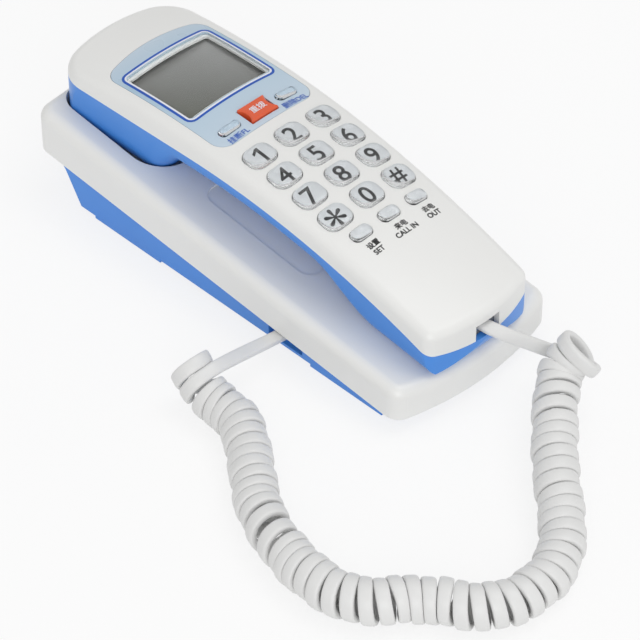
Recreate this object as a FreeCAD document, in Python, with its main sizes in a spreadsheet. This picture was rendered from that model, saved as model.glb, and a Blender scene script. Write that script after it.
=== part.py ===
"""Corded desk phone: a keypad handset lying in the cradle of a low base, joined by a curly cord.

Frame: X to the user's right, Y from the mouth end to the ear end, Z up, millimetres.
The origin is on the table, under the middle of the phone.
"""
import FreeCAD, Part
import math
import os
import re
import Sketcher
from FreeCAD import Placement, Rotation
from FreeCAD import Vector as V

SIZES = {
    # Base, seen from above and from the side
    "base_length": 170.1,
    "base_width": 68.0,
    "base_front_bow": 5.2,
    "base_rear_bow": 2.0,
    "base_front_corner": 5.5,
    "base_rear_corner": 6.0,
    "base_front_height": 16.6,
    "base_rear_height": 36.2,
    "base_edge_radius": 4.0,
    "rim_front_height": 5.3,
    "rim_rear_height": 20.1,
    "base_wall": 2.2,
    # Lower shell of the base
    "tub_width": 61.0,
    "tub_front_inset": 7.5,
    "tub_floor_length": 143.9,
    "tub_rear_inset": 6.2,
    "tub_flare_inset": 11.8,
    "tub_flare_drop": 6.0,
    "tub_corner_radius": 5.0,
    "rim_lip": 1.0,
    "ledge_thickness": 2.0,
    "floor_height": 1.5,
    "bar_drop": 1.0,
    "bar_length": 31.0,
    "front_bar_start": 14.1,
    "rear_bar_start": 113.6,
    # Cradle
    "recess_width": 40.0,
    "recess_length": 48.5,
    "recess_depth": 0.6,
    "recess_start": 56.1,
    "recess_corner_radius": 5.0,
    "well_start": 118.1,
    "well_front_corner": 12.5,
    "well_rear_corner": 8.0,
    "well_clearance": 0.5,
    "rest_gap": 0.3,
    "well_gap": 0.5,
    # Handset, seen from above
    "handset_overhang": 0.9,
    "handset_length": 170.4,
    "handset_front_width": 44.6,
    "handset_ear_width": 52.0,
    "handset_front_bow": 4.4,
    "handset_ear_bow": 4.4,
    "front_corner_radius": 4.0,
    "ear_corner_radius": 13.5,
    # Handset, seen from the side; distances run from its front end
    "face_height": 55.0,
    "face_radius": 335.0,
    "face_crown_radius": 125.0,
    "face_apex": 116.0,
    "face_edge_radius": 3.6,
    "parting_height": 46.0,
    "parting_bend": 107.0,
    "parting_radius": 275.8,
    "shell_wall": 2.0,
    "side_draft": 0.12,
    "underside_edge_radius": 6.0,
    "ear_edge_radius": 11.0,
    "grip_depth": 7.2,
    "ear_bottom": 24.0,
    "ear_rise_start": 112.0,
    "ear_rise_end": 128.5,
    "mouth_drop_start": 53.0,
    "mouth_drop_end": 28.0,
    "mouth_round": 6.0,
    "ear_slant": 6.0,
    "ear_round": 7.0,
    # Keypad
    "key_length": 10.4,
    "key_width": 8.7,
    "key_corner_radius": 3.4,
    "key_bevel": 0.9,
    "column_pitch": 13.8,
    "row_pitch": 11.0,
    "first_row": 84.8,
    "pill_length": 7.6,
    "pill_width": 4.4,
    "pill_pitch": 12.0,
    "pill_row": 42.5,
    "panel_pill_length": 8.0,
    "panel_pill_width": 3.2,
    "panel_pill_pitch": 12.3,
    "panel_key_row": 100.0,
    "redial_length": 11.0,
    "redial_width": 7.2,
    "redial_end_radius": 5.0,
    "redial_end_depth": 1.0,
    "key_rise": 1.1,
    "key_clearance": 0.3,
    "key_stop_gap": 0.3,
    "key_flange": 0.7,
    "key_flange_thickness": 0.8,
    "key_post_radius": 1.4,
    "key_post_depth": 5.5,
    "key_post_clearance": 0.6,
    # Display
    "panel_start": 94.0,
    "panel_length": 57.0,
    "panel_width": 41.0,
    "panel_top_bow": 3.0,
    "panel_corner_radius": 5.5,
    "panel_thickness": 1.0,
    "panel_clearance": 0.15,
    "window_start": 113.1,
    "window_length": 28.1,
    "window_width": 33.6,
    "window_ledge": 1.0,
    "glass_overlap": 2.2,
    "glass_depth": 4.4,
    "glass_thickness": 2.8,
    "holder_wall": 2.0,
    "strip_width": 2.0,
    "strip_height": 1.6,
    "fit_gap": 0.1,
    # Boards and sound parts of the handset
    "board_thickness": 1.2,
    "keypad_board_length": 70.0,
    "keypad_board_width": 37.0,
    "keypad_board_middle": 71.0,
    "keypad_board_depth": 8.8,
    "mat_thickness": 1.0,
    "speaker_radius": 12.5,
    "speaker_height": 4.5,
    "magnet_radius": 8.0,
    "magnet_height": 4.0,
    "speaker_middle": 143.1,
    "speaker_seat_gap": 0.35,
    "gasket_height": 1.0,
    "gasket_width": 2.5,
    "sound_hole_radius": 0.9,
    "sound_hole_pitch": 3.4,
    "microphone_radius": 4.85,
    "microphone_height": 5.0,
    "boot_wall": 1.2,
    "microphone_middle": 21.5,
    # Modular jacks and plugs
    "plug_width": 7.6,
    "plug_height": 4.4,
    "plug_length": 9.0,
    "plug_gap": 0.2,
    "latch_width": 3.0,
    "latch_height": 0.7,
    "latch_length": 6.0,
    "jack_wall": 2.6,
    "jack_back": 1.4,
    "contact_width": 0.5,
    "contact_pitch": 1.02,
    "jack_opening_width": 10.2,
    "jack_opening_height": 6.0,
    "handset_jack_height": 27.4,
    "handset_jack_setback": 0.8,
    "base_jack_distance": 56.1,
    "base_jack_setback": 2.6,
    "base_jack_recess": 15.0,
    "line_plug_width": 9.8,
    "line_plug_height": 6.6,
    "line_plug_depth": 11.0,
    "line_jack_setback": 1.0,
    # Works of the base
    "base_board_width": 30.0,
    "base_board_length": 47.0,
    "base_board_end": 2.0,
    "base_board_height": 5.0,
    "standoff_radius": 2.2,
    "standoff_inset": 4.0,
    "hook_distance": 131.3,
    "plunger_radius": 3.2,
    "plunger_clearance": 0.4,
    "plunger_travel": 3.0,
    "plunger_flange_radius": 5.6,
    "plunger_flange_height": 1.2,
    "plunger_stem_radius": 1.6,
    "switch_length": 12.8,
    "switch_width": 7.0,
    "switch_height": 5.3,
    "spring_wire": 0.6,
    "spring_radius": 3.0,
    "spring_turns": 4,
    "ringer_radius": 10.0,
    "ringer_height": 5.0,
    "ringer_distance": 83.6,
    # Screws and feet
    "screw_radius": 1.3,
    "screw_head_radius": 2.6,
    "screw_head_height": 1.8,
    "screw_length": 9.0,
    "screw_clearance": 0.1,
    "boss_wall": 1.8,
    "base_screw_spacing": 40.0,
    "base_screw_front": 18.0,
    "base_screw_rear": 138.6,
    "handset_screw_spacing": 28.0,
    "handset_screw_distance": 19.0,
    "foot_radius": 4.5,
    "foot_height": 1.6,
    "foot_spacing": 44.0,
    # Curly cord
    "cord_diameter": 2.8,
    "curl_radius": 5.8,
    "curl_turns": 55,
    "curl_end_angle": 205.0,
    "curl_lead_rise": 3.4,
    "base_end_overlap": 2.4,
    "handset_end_overlap": 1.2,
    "lead_run": 9.5,
}

doc = FreeCAD.newDocument("corded_phone")
sheet = doc.addObject("Spreadsheet::Sheet", "Sizes")
for row, (word, number) in enumerate(SIZES.items(), start=1):
    sheet.set(f"A{row}", word)
    sheet.set(f"B{row}", str(number))
    sheet.setAlias(f"B{row}", word)
doc.recompute()


def size(word):
    return float(sheet.get(word))


# Formulas for document objects are written with the sheet's words
FRONT = "(-(base_length + handset_overhang) / 2)"
BASE_FRONT = "((handset_overhang - base_length) / 2)"
FACE_APEX = f"({FRONT} + face_apex)"
FACE_CENTRE = "(face_height - face_radius)"

# The same places as numbers, for shapes that are worked out in code
front = -(size("base_length") + size("handset_overhang")) / 2
base_front = (size("handset_overhang") - size("base_length")) / 2
base_rear = base_front + size("base_length")
rear = front + size("handset_length")
face_apex = front + size("face_apex")
face_centre = size("face_height") - size("face_radius")
wall = size("shell_wall")
base_wall = size("base_wall")
FAR = 200.0
nodes = []


def tie(obj, **formulas):
    """Bind properties to formulas; a double underscore stands for a dot in the property's path."""
    def to_cell(match):
        word = match.group()
        return f"Sizes.{word}" if word in SIZES else word
    for prop, formula in formulas.items():
        obj.setExpression(prop.replace("__", "."), re.sub(r"[a-z_]\w*", to_cell, str(formula)))
    return obj


def node(obj, label):
    """Name a finished sub-part, which is then written to its own file."""
    obj.Label = label
    nodes.append(obj)
    return obj


def formed(label, shape):
    """A sub-part whose curved shape is worked out in code."""
    feature = doc.addObject("Part::Feature", label)
    feature.Shape = shape
    return node(feature, label)


def block(name, low, span):
    """A box from its low corner and its span, all of them formulas."""
    box = doc.addObject("Part::Box", name)
    tie(box, Length=span[0], Width=span[1], Height=span[2])
    return tie(box, Placement__Base__x=low[0], Placement__Base__y=low[1], Placement__Base__z=low[2])


def rod(name, foot, radius, height, axis=V(0, 0, 1)):
    """A cylinder from the middle of its foot, along an axis."""
    cylinder = doc.addObject("Part::Cylinder", name)
    cylinder.Placement = Placement(V(), Rotation(V(0, 0, 1), axis))
    tie(cylinder, Radius=radius, Height=height)
    return tie(cylinder, Placement__Base__x=foot[0], Placement__Base__y=foot[1], Placement__Base__z=foot[2])


def cut(name, base, *tools):
    result = doc.addObject("Part::Cut", name)
    result.Base = base
    result.Tool = tools[0] if len(tools) == 1 else fuse(name + "_tools", *tools)
    return result


def fuse(name, *shapes):
    result = doc.addObject("Part::MultiFuse", name)
    result.Shapes = list(shapes)
    return result


def group(name, *shapes):
    """Separate solids that share one node."""
    result = doc.addObject("Part::Compound", name)
    result.Links = list(shapes)
    return result


def face_place(x, y):
    """Formula of the frame that stands on the handset's face, its Z axis along the face's normal."""
    reach = f"(face_radius - face_crown_radius + sqrt(face_crown_radius ^ 2 - ({x}) ^ 2))"
    height = f"{FACE_CENTRE} + sqrt({reach} ^ 2 - (({y}) - {FACE_APEX}) ^ 2)"
    tilt = f"-asin((({y}) - {FACE_APEX}) / {reach})"
    lean = f"asin(({x}) / face_crown_radius)"
    return (f"placement(vector({x}; {y}; {height}); rotation(vector(1; 0; 0); {tilt}))"
            f" * placement(vector(0; 0; 0); rotation(vector(0; 1; 0); {lean}))")


def face_frame(x, y):
    """The same frame as a placement."""
    crown = size("face_crown_radius")
    reach = size("face_radius") - crown + math.sqrt(crown ** 2 - x ** 2)
    height = face_centre + math.sqrt(reach ** 2 - (y - face_apex) ** 2)
    tilt = Rotation(V(1, 0, 0), -math.degrees(math.asin((y - face_apex) / reach)))
    lean = Rotation(V(0, 1, 0), math.degrees(math.asin(x / crown)))
    return Placement(V(x, y, height), tilt * lean)


# Heights along the phone
def base_top(y):
    rise = size("base_rear_height") - size("base_front_height")
    return size("base_front_height") + rise * (y - base_front) / size("base_length")


def rim_bottom(y):
    rise = size("rim_rear_height") - size("rim_front_height")
    return size("rim_front_height") + rise * (y - base_front) / size("base_length")


def parting(y):
    """The seam between the handset's shells: level at the ear end, then an arc down to the mouth."""
    past = min(y - front - size("parting_bend"), 0.0)
    radius = size("parting_radius")
    return size("parting_height") - radius + math.sqrt(radius ** 2 - past ** 2)


def smooth(share):
    share = min(max(share, 0.0), 1.0)
    return share * share * (3 - 2 * share)


def underside(y):
    """The handset's lowest line: a shallow grip between the ear bulge and the mouth bulge."""
    along = y - front
    ear_span = size("ear_rise_end") - size("ear_rise_start")
    mouth_span = size("mouth_drop_start") - size("mouth_drop_end")
    ear = smooth((along - size("ear_rise_start")) / ear_span)
    mouth = smooth((size("mouth_drop_start") - along) / mouth_span)
    grip = parting(y) - size("grip_depth")
    return (1 - ear - mouth) * grip + ear * size("ear_bottom") + mouth * (base_top(y) + size("rest_gap"))


# Shapes worked out in code
def wire(*edges):
    return Part.Wire([edge.toShape() for edge in edges])


def side_prism(points):
    """A prism across the phone from a closed outline of (y, z) points; a third entry bends the edge."""
    corners = [V(-FAR / 2, point[0], point[1]) for point in points]
    edges = []
    for index, point in enumerate(points):
        start, end = corners[index], corners[(index + 1) % len(corners)]
        if len(point) > 2:
            through = V(-FAR / 2, *point[2])
            edges.append(Part.Arc(start, through, end))
        else:
            edges.append(Part.LineSegment(start, end))
    return Part.Face(wire(*edges)).extrude(V(FAR, 0, 0))


def plan_prism(front_half, rear_half, y_front, y_rear, front_bow, rear_bow, front_radius, rear_radius):
    """An upright prism over a four-cornered outline with bowed ends and round corners."""
    corners = [
        V(-front_half, y_front + front_bow, 0),
        V(front_half, y_front + front_bow, 0),
        V(rear_half, y_rear - rear_bow, 0),
        V(-rear_half, y_rear - rear_bow, 0),
    ]
    outline = wire(
        Part.Arc(corners[0], V(0, y_front, 0), corners[1]),
        Part.LineSegment(corners[1], corners[2]),
        Part.Arc(corners[2], V(0, y_rear, 0), corners[3]),
        Part.LineSegment(corners[3], corners[0]),
    )
    prism = Part.Face(outline).extrude(V(0, 0, FAR))
    for radius, pair in ((front_radius, corners[:2]), (rear_radius, corners[2:])):
        upright = [edge for edge in prism.Edges if any(stands_at(edge, corner) for corner in pair)]
        prism = prism.makeFillet(radius, upright)
    return prism


def stands_at(edge, corner):
    middle = edge.CenterOfMass
    return edge.BoundBox.ZLength > FAR / 2 and math.hypot(middle.x - corner.x, middle.y - corner.y) < 0.01


def slot_prism(length, width, radius, height):
    """An upright prism over a rectangle with round corners, centred on the origin."""
    box = Part.makeBox(length, width, height, V(-length / 2, -width / 2, -height / 2))
    upright = [edge for edge in box.Edges if edge.BoundBox.ZLength > height / 2]
    return box.makeFillet(radius, upright)


def only_solid(shape):
    return max(shape.Solids, key=lambda solid: solid.Volume)


# Handset shells
def face_body(sink):
    """Everything under the crowned face, or under a copy of it that is sunk below it."""
    crown = size("face_crown_radius")
    return Part.makeTorus(size("face_radius") - crown, crown - sink, V(0, face_apex, face_centre), V(1, 0, 0))


def handset_plan(inset):
    return plan_prism(
        size("handset_front_width") / 2 - inset, size("handset_ear_width") / 2 - inset,
        front + inset, rear - inset, size("handset_front_bow"), size("handset_ear_bow"),
        size("front_corner_radius") - inset, size("ear_corner_radius") - inset)


def upper_form(inset):
    form = only_solid(handset_plan(inset).common(face_body(inset)))
    crowned = max(form.Faces, key=lambda face: face.CenterOfMass.z)
    return form.makeFillet(size("face_edge_radius") - inset, crowned.Edges)


def above_parting():
    bend = front + size("parting_bend")
    start, end = front - size("shell_wall"), rear + size("shell_wall")
    middle = (start + bend) / 2
    return side_prism([
        (end, parting(end)),
        (bend, parting(bend), (middle, parting(middle))),
        (start, parting(start)),
        (start, FAR),
        (end, FAR),
    ])


def lower_section(y, inset):
    """One rib of the lower shell: drafted sides, round bilges and a flat bottom."""
    taper = (size("handset_ear_width") - size("handset_front_width")) / 2
    straight = size("handset_length") - size("handset_ear_bow") - size("handset_front_bow")
    half = size("handset_front_width") / 2 + taper * (y - front) / straight - inset
    draft = size("side_draft")
    deep = smooth((y - front - size("ear_rise_start")) / (size("ear_rise_end") - size("ear_rise_start")))
    radius = size("underside_edge_radius") * (1 - deep) + size("ear_edge_radius") * deep - inset
    low = underside(y) + inset
    top = V(half + draft * wall, y, parting(y) + wall)
    corner = V(half - draft * (parting(y) - low), y, low)
    up = (top - corner).normalize()
    inward = V(-1, 0, 0)
    opening = up.getAngle(inward)
    reach = radius / math.tan(opening / 2)
    side_end = corner + up * reach
    floor_end = corner + inward * reach
    bilge = corner + (up + inward).normalize() * (radius / math.sin(opening / 2) - radius)
    return wire(
        Part.LineSegment(mirrored(top), top),
        Part.LineSegment(top, side_end),
        Part.Arc(side_end, bilge, floor_end),
        Part.LineSegment(floor_end, mirrored(floor_end)),
        Part.Arc(mirrored(floor_end), mirrored(bilge), mirrored(side_end)),
        Part.LineSegment(mirrored(side_end), mirrored(top)),
    )


def mirrored(point):
    return V(-point.x, point.y, point.z)


def lower_profile(inset):
    """The lower shell from the side: round under the mouth, slanted and round under the ear."""
    mouth, ear = size("mouth_round"), size("ear_round")
    y_front, y_rear = front + inset, rear - inset
    floor_front = underside(front + mouth) + inset
    floor_ear = size("ear_bottom") + inset
    drop = size("parting_height") - floor_ear
    slant = size("ear_slant") * (drop - ear) / drop
    bulge = 0.3
    return side_prism([
        (y_front, FAR),
        (y_front, floor_front + mouth,
         (y_front + mouth * bulge, floor_front + mouth * bulge)),
        (y_front + mouth, floor_front - inset),
        (y_front + mouth, 0),
        (y_rear - size("ear_slant") - ear, 0),
        (y_rear - size("ear_slant") - ear, floor_ear,
         (y_rear - size("ear_slant") - ear * bulge, floor_ear + ear * bulge)),
        (y_rear - slant, floor_ear + ear),
        (y_rear, size("parting_height")),
        (y_rear, FAR),
    ])


def lower_form(inset):
    ribs, degree = 48, 2
    start, end = front - wall, rear + wall
    sections = [lower_section(start + (end - start) * rib / (ribs - 1), inset) for rib in range(ribs)]
    hull = Part.makeLoft(sections, True, False, False, degree)
    return only_solid(hull.common(handset_plan(inset)).common(lower_profile(inset)))


KEY_NAMES = ("1", "2", "3", "4", "5", "6", "7", "8", "9", "star", "0", "hash")
PILL_NAMES = ("set", "incoming", "outgoing")


def key_layout():
    """Every key as its name, its length and width, its corner radius and the formulas of its place."""
    layout = []
    for index, name in enumerate(KEY_NAMES):
        column, line = index % 3 - 1, index // 3
        place = (f"{column} * column_pitch", f"{FRONT} + first_row - {line} * row_pitch")
        layout.append((f"key_{name}", "key_length", "key_width", "key_corner_radius", place))
    for index, name in enumerate(PILL_NAMES):
        place = (f"{index - 1} * pill_pitch", f"{FRONT} + pill_row")
        layout.append((f"key_{name}", "pill_length", "pill_width", "pill_width * 0.45", place))
    for side, name in ((-1, "flash"), (1, "delete")):
        place = (f"{side} * panel_pill_pitch", f"{FRONT} + panel_key_row")
        corner = "panel_pill_width * 0.45"
        layout.append((f"key_{name}", "panel_pill_length", "panel_pill_width", corner, place))
    return layout


def key_holes(swell):
    """Upright tools for the keys' holes, each on its own patch of the face."""
    tools = []
    for index in range(len(KEY_NAMES)):
        x = (index % 3 - 1) * size("column_pitch")
        y = front + size("first_row") - index // 3 * size("row_pitch")
        tools.append(key_hole("key", "key_corner_radius", swell, x, y))
    for column in (-1, 0, 1):
        tools.append(key_hole("pill", None, swell, column * size("pill_pitch"), front + size("pill_row")))
    for side in (-1, 1):
        x = side * size("panel_pill_pitch")
        tools.append(key_hole("panel_pill", None, swell, x, front + size("panel_key_row")))
    redial = slot_prism(size("redial_length") + 2 * swell, size("redial_width") + 2 * swell, swell, 20)
    redial.Placement = face_frame(0, front + size("panel_key_row"))
    return tools + [redial]


def key_hole(kind, corner, swell, x, y):
    length, width = size(f"{kind}_length"), size(f"{kind}_width")
    radius = size(corner) if corner else 0.45 * width
    hole = slot_prism(length + 2 * swell, width + 2 * swell, radius + swell, 20)
    hole.Placement = face_frame(x, y)
    return hole


def panel_outline(swell):
    half = size("panel_width") / 2 + swell
    y_front = front + size("panel_start") - swell
    y_rear = y_front + size("panel_length") + 2 * swell
    radius = size("panel_corner_radius") + swell
    bow = 0.5
    return plan_prism(half, half, y_front, y_rear, bow, size("panel_top_bow"), radius, radius)


def window_hole(swell):
    length, width = size("window_width") + 2 * swell, size("window_length") + 2 * swell
    hole = slot_prism(length, width, 1.0 + swell, 30)
    hole.Placement = face_frame(0, front + size("window_start") + size("window_length") / 2)
    return hole


def jack_opening():
    """The opening for the handset's plug, through the end wall."""
    width, height = size("jack_opening_width"), size("jack_opening_height")
    low = V(-width / 2, front - 1, size("handset_jack_height") - height / 2)
    return Part.makeBox(width, wall + size("handset_front_bow") + 3, height, low)


def handset_boss(radius, low, high):
    """One upright cylinder at each of the handset's screws."""
    y = front + size("handset_screw_distance")
    spots = [V(side * size("handset_screw_spacing") / 2, y, low) for side in (-1, 1)]
    return [Part.makeCylinder(radius, high - low, spot) for spot in spots]


def handset_screw_seat():
    return underside(front + size("handset_screw_distance")) + wall


def make_handset_top():
    inner = upper_form(wall)
    shell = upper_form(0).cut(inner).common(above_parting())
    seat = handset_screw_seat() + wall
    outer_boss = size("screw_radius") + size("screw_clearance") + size("boss_wall")
    bosses = [boss.common(upper_form(wall / 2)) for boss in handset_boss(outer_boss, seat, FAR / 4)]
    shell = shell.fuse(bosses)
    pilot = size("screw_radius") + size("screw_clearance")
    shell = shell.cut(handset_boss(pilot, seat - 1, seat + size("screw_length") - wall))
    recess = panel_outline(size("panel_clearance")).cut(face_body(size("panel_thickness") + size("fit_gap")))
    shell = shell.cut(key_holes(size("key_clearance")) + [recess, window_hole(0), jack_opening()])
    formed("handset_top_shell", only_solid(shell))


def make_handset_bottom():
    below = Part.makeBox(FAR, 2 * FAR, FAR, V(-FAR / 2, -FAR, -FAR / 2)).cut(above_parting())
    shell = lower_form(0).cut(lower_form(wall)).common(below)
    seat = handset_screw_seat()
    post_radius = size("screw_head_radius") + size("screw_clearance") + size("boss_wall")
    posts = [post.common(lower_form(wall / 2)) for post in handset_boss(post_radius, 0, seat + wall)]
    shell = shell.fuse(posts)
    head = size("screw_head_radius") + size("screw_clearance")
    shell = shell.cut(handset_boss(size("screw_radius") + size("screw_clearance"), 0, FAR / 4))
    shell = shell.cut(handset_boss(head, 0, seat))
    shell = shell.cut(sound_holes() + [jack_opening()])
    formed("handset_bottom_shell", only_solid(shell))


def sound_holes():
    """Two rings of holes under the earpiece and one under the microphone."""
    radius, pitch = size("sound_hole_radius"), size("sound_hole_pitch")
    ear = V(0, front + size("speaker_middle"), size("ear_bottom") - 1)
    spots = [ear]
    for ring in (1, 2):
        for step in range(6 * ring):
            angle = 2 * math.pi * step / (6 * ring)
            spots.append(ear + V(math.cos(angle), math.sin(angle), 0) * ring * pitch)
    mouth = front + size("microphone_middle")
    spots.append(V(0, mouth, underside(mouth) - 1))
    return [Part.makeCylinder(radius, wall + 3, spot) for spot in spots]


def make_panel():
    """The printed panel lies flush in the face; a clear window fills its opening."""
    plate = panel_outline(0).common(face_body(0)).cut(face_body(size("panel_thickness")))
    holes = key_holes(size("key_clearance"))
    ledge = size("window_ledge")
    formed("display_panel", only_solid(plate.cut(holes + [window_hole(ledge + size("fit_gap"))])))
    window = window_hole(ledge).common(face_body(0)).cut(face_body(size("panel_thickness")))
    formed("display_window", only_solid(window))


# Keys
def corner_edges(feature, along_z):
    """Names of a feature's upright edges, or of the edges round its top."""
    names = []
    top = feature.Shape.BoundBox.ZMax
    for index, edge in enumerate(feature.Shape.Edges, start=1):
        upright = edge.BoundBox.ZLength > 0.1
        at_top = not upright and edge.BoundBox.ZMin > top - 0.01
        if upright if along_z else at_top:
            names.append(f"Edge{index}")
    return names


def body_feature(body, kind, name, low, **sizes):
    """A primitive of a body, placed by formulas from the body's own base plane."""
    feature = body.newObject(f"PartDesign::{kind}", name)
    plane = next(part for part in body.Origin.OriginFeatures if part.Role == "XY_Plane")
    feature.AttachmentSupport = [(plane, "")]
    feature.MapMode = "FlatFace"
    offset = {f"AttachmentOffset__Base__{axis}": formula for axis, formula in zip("xyz", low)}
    return tie(feature, **offset, **sizes)


def dress(body, kind, feature, edges, **sizes):
    finish = body.newObject(f"PartDesign::{kind}", f"{feature.Name}_{kind}")
    finish.Base = (feature, edges)
    tie(finish, **sizes)
    doc.recompute()
    return finish


def key_body(label, length, width, corner, place, bevel="key_bevel"):
    """A cap with a bevelled top, a stop flange behind the face and a post for its contact."""
    body = doc.addObject("PartDesign::Body", label)
    reach = "(shell_wall + key_stop_gap)"
    box = body_feature(
        body, "AdditiveBox", f"{label}_cap", (f"-({length}) / 2", f"-({width}) / 2", f"-{reach}"),
        Length=length, Width=width, Height=f"{reach} + key_rise")
    doc.recompute()
    rounded = dress(body, "Fillet", box, corner_edges(box, True), Radius=corner)
    dress(body, "Chamfer", rounded, corner_edges(rounded, False), Size=bevel)
    key_foot(body, label, length, width)
    tie(body, Placement=face_place(*place))
    return node(body, label)


def key_foot(body, label, length, width):
    reach = "(shell_wall + key_stop_gap)"
    body_feature(
        body, "AdditiveBox", f"{label}_flange",
        (f"-({length}) / 2 - key_flange", f"-({width}) / 2 - key_flange", f"-{reach} - key_flange_thickness"),
        Length=f"({length}) + 2 * key_flange", Width=f"({width}) + 2 * key_flange",
        Height="key_flange_thickness")
    body_feature(
        body, "AdditiveCylinder", f"{label}_post", ("0", "0", "-key_post_depth"),
        Radius="key_post_radius", Height=f"key_post_depth - {reach}")


def redial_key():
    """The wide key in the panel: hollow ends, like a bow."""
    label = "key_redial"
    body = doc.addObject("PartDesign::Body", label)
    reach = "(shell_wall + key_stop_gap)"
    box = body_feature(
        body, "AdditiveBox", "redial_cap", ("-redial_length / 2", "-redial_width / 2", f"-{reach}"),
        Length="redial_length", Width="redial_width", Height=f"{reach} + key_rise")
    for side, name in ((-1, "left"), (1, "right")):
        middle = f"{side} * (redial_length / 2 + redial_end_radius - redial_end_depth)"
        body_feature(
            body, "SubtractiveCylinder", f"redial_{name}", (middle, "0", f"-2 * {reach}"),
            Radius="redial_end_radius", Height=f"4 * {reach}")
    doc.recompute()
    tip = body.Tip
    dress(body, "Chamfer", tip, corner_edges(tip, False), Size="key_bevel / 2")
    key_foot(body, label, "redial_length", "redial_width")
    tie(body, Placement=face_place("0", f"{FRONT} + panel_key_row"))
    return node(body, label)


def make_keys():
    for label, length, width, corner, place in key_layout():
        bevel = "key_bevel" if width == "key_width" else "key_bevel / 2"
        key_body(label, length, width, corner, place, bevel)
    redial_key()


def mouth_floor(y):
    """Formula of the handset's inside floor under the mouth, where it follows the base's top."""
    rise = f"(base_rear_height - base_front_height) * (({y}) - {BASE_FRONT}) / base_length"
    return f"(base_front_height + {rise} + rest_gap + shell_wall)"


# Display and boards
def face_slab(name, place, span, depth, thickness, shift="0"):
    """A flat slab under the face, parallel to it at its middle; depth is down to its top."""
    slab = doc.addObject("Part::Box", name)
    tie(slab, Length=span[0], Width=span[1], Height=thickness)
    low = f"vector(-({span[0]}) / 2; -({span[1]}) / 2 + {shift}; -({depth}) - ({thickness}))"
    return tie(slab, Placement=f"{face_place(*place)} * placement({low}; rotation(vector(0; 0; 1); 0))")


def make_display():
    middle = ("0", f"{FRONT} + window_start + window_length / 2")
    glass = ("(window_width + 2 * glass_overlap)", "(window_length + 2 * glass_overlap)")
    node(face_slab("lcd_glass", middle, glass, "glass_depth", "glass_thickness"), "lcd_glass")
    outer = tuple(f"({span} + 2 * holder_wall + 2 * fit_gap)" for span in glass)
    inner = tuple(f"({span} + 2 * fit_gap)" for span in glass)
    tall = "(glass_thickness + strip_height)"
    frame = face_slab("holder_block", middle, outer, "glass_depth", tall)
    core = face_slab("holder_core", middle, inner, "glass_depth - 1", f"{tall} + 2")
    node(cut("lcd_holder", frame, core), "lcd_holder")
    strips = []
    for side, name in ((-1, "near"), (1, "far")):
        shift = f"{side} * (window_length / 2 + glass_overlap - strip_width)"
        strips.append(face_slab(
            f"strip_{name}", middle, ("window_width", "strip_width"), "glass_depth + glass_thickness",
            "strip_height", shift))
    node(group("lcd_connector_strips", *strips), "lcd_connector_strips")
    board = face_slab("display_board", middle, outer, f"glass_depth + {tall}", "board_thickness")
    node(board, "display_board")


def make_keypad_boards():
    middle = ("0", f"{FRONT} + keypad_board_middle")
    span = ("keypad_board_width", "keypad_board_length")
    board = face_slab("keypad_board", middle, span, "keypad_board_depth", "board_thickness")
    node(board, "keypad_board")
    sheet_depth = "(keypad_board_depth - mat_thickness)"
    mat = face_slab("mat_sheet", middle, span, sheet_depth, "mat_thickness")
    holes = []
    redial = ("key_redial", None, None, None, ("0", f"{FRONT} + panel_key_row"))
    for label, _, _, _, place in key_layout() + [redial]:
        hole = doc.addObject("Part::Cylinder", f"{label}_clearance")
        tie(hole, Radius="key_post_radius + key_post_clearance", Height="keypad_board_depth + 4")
        drop = "vector(0; 0; -keypad_board_depth - 2)"
        tie(hole, Placement=f"{face_place(*place)} * placement({drop}; rotation(vector(0; 0; 1); 0))")
        holes.append(hole)
    node(cut("keypad_mat", mat, *holes), "keypad_mat")


def make_sound_parts():
    y = f"{FRONT} + speaker_middle"
    floor = "(ear_bottom + shell_wall + speaker_seat_gap)"
    ring = rod("gasket_disc", ("0", y, floor), "speaker_radius", "gasket_height")
    hole = rod("gasket_hole", ("0", y, f"{floor} - 1"), "speaker_radius - gasket_width", "gasket_height + 2")
    node(cut("earpiece_gasket", ring, hole), "earpiece_gasket")
    basket = rod("speaker_basket", ("0", y, f"{floor} + gasket_height"), "speaker_radius", "speaker_height")
    magnet = rod(
        "speaker_magnet", ("0", y, f"{floor} + gasket_height + speaker_height"),
        "magnet_radius", "magnet_height")
    node(fuse("earpiece_speaker", basket, magnet), "earpiece_speaker")
    mouth = f"{FRONT} + microphone_middle"
    foot = f"({mouth_floor(mouth + ' + microphone_radius + boot_wall')} + fit_gap)"
    case = rod(
        "boot_case", ("0", mouth, foot), "microphone_radius + boot_wall", "microphone_height + boot_wall")
    core = rod("boot_core", ("0", mouth, f"{foot} + boot_wall"), "microphone_radius", "microphone_height + 1")
    port = rod("boot_port", ("0", mouth, f"{foot} - 1"), "sound_hole_radius", "boot_wall + 2")
    node(cut("microphone_boot", case, core, port), "microphone_boot")
    capsule = rod(
        "microphone", ("0", mouth, f"{foot} + boot_wall"), "microphone_radius - fit_gap", "microphone_height")
    node(capsule, "microphone")


# Jacks and plugs: each is drawn round the middle of its mouth, with Y running out of the mouth
PLUG = ("plug_width", "plug_height", "plug_length")
LINE_PLUG = ("line_plug_width", "line_plug_height", "line_plug_depth")


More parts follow.
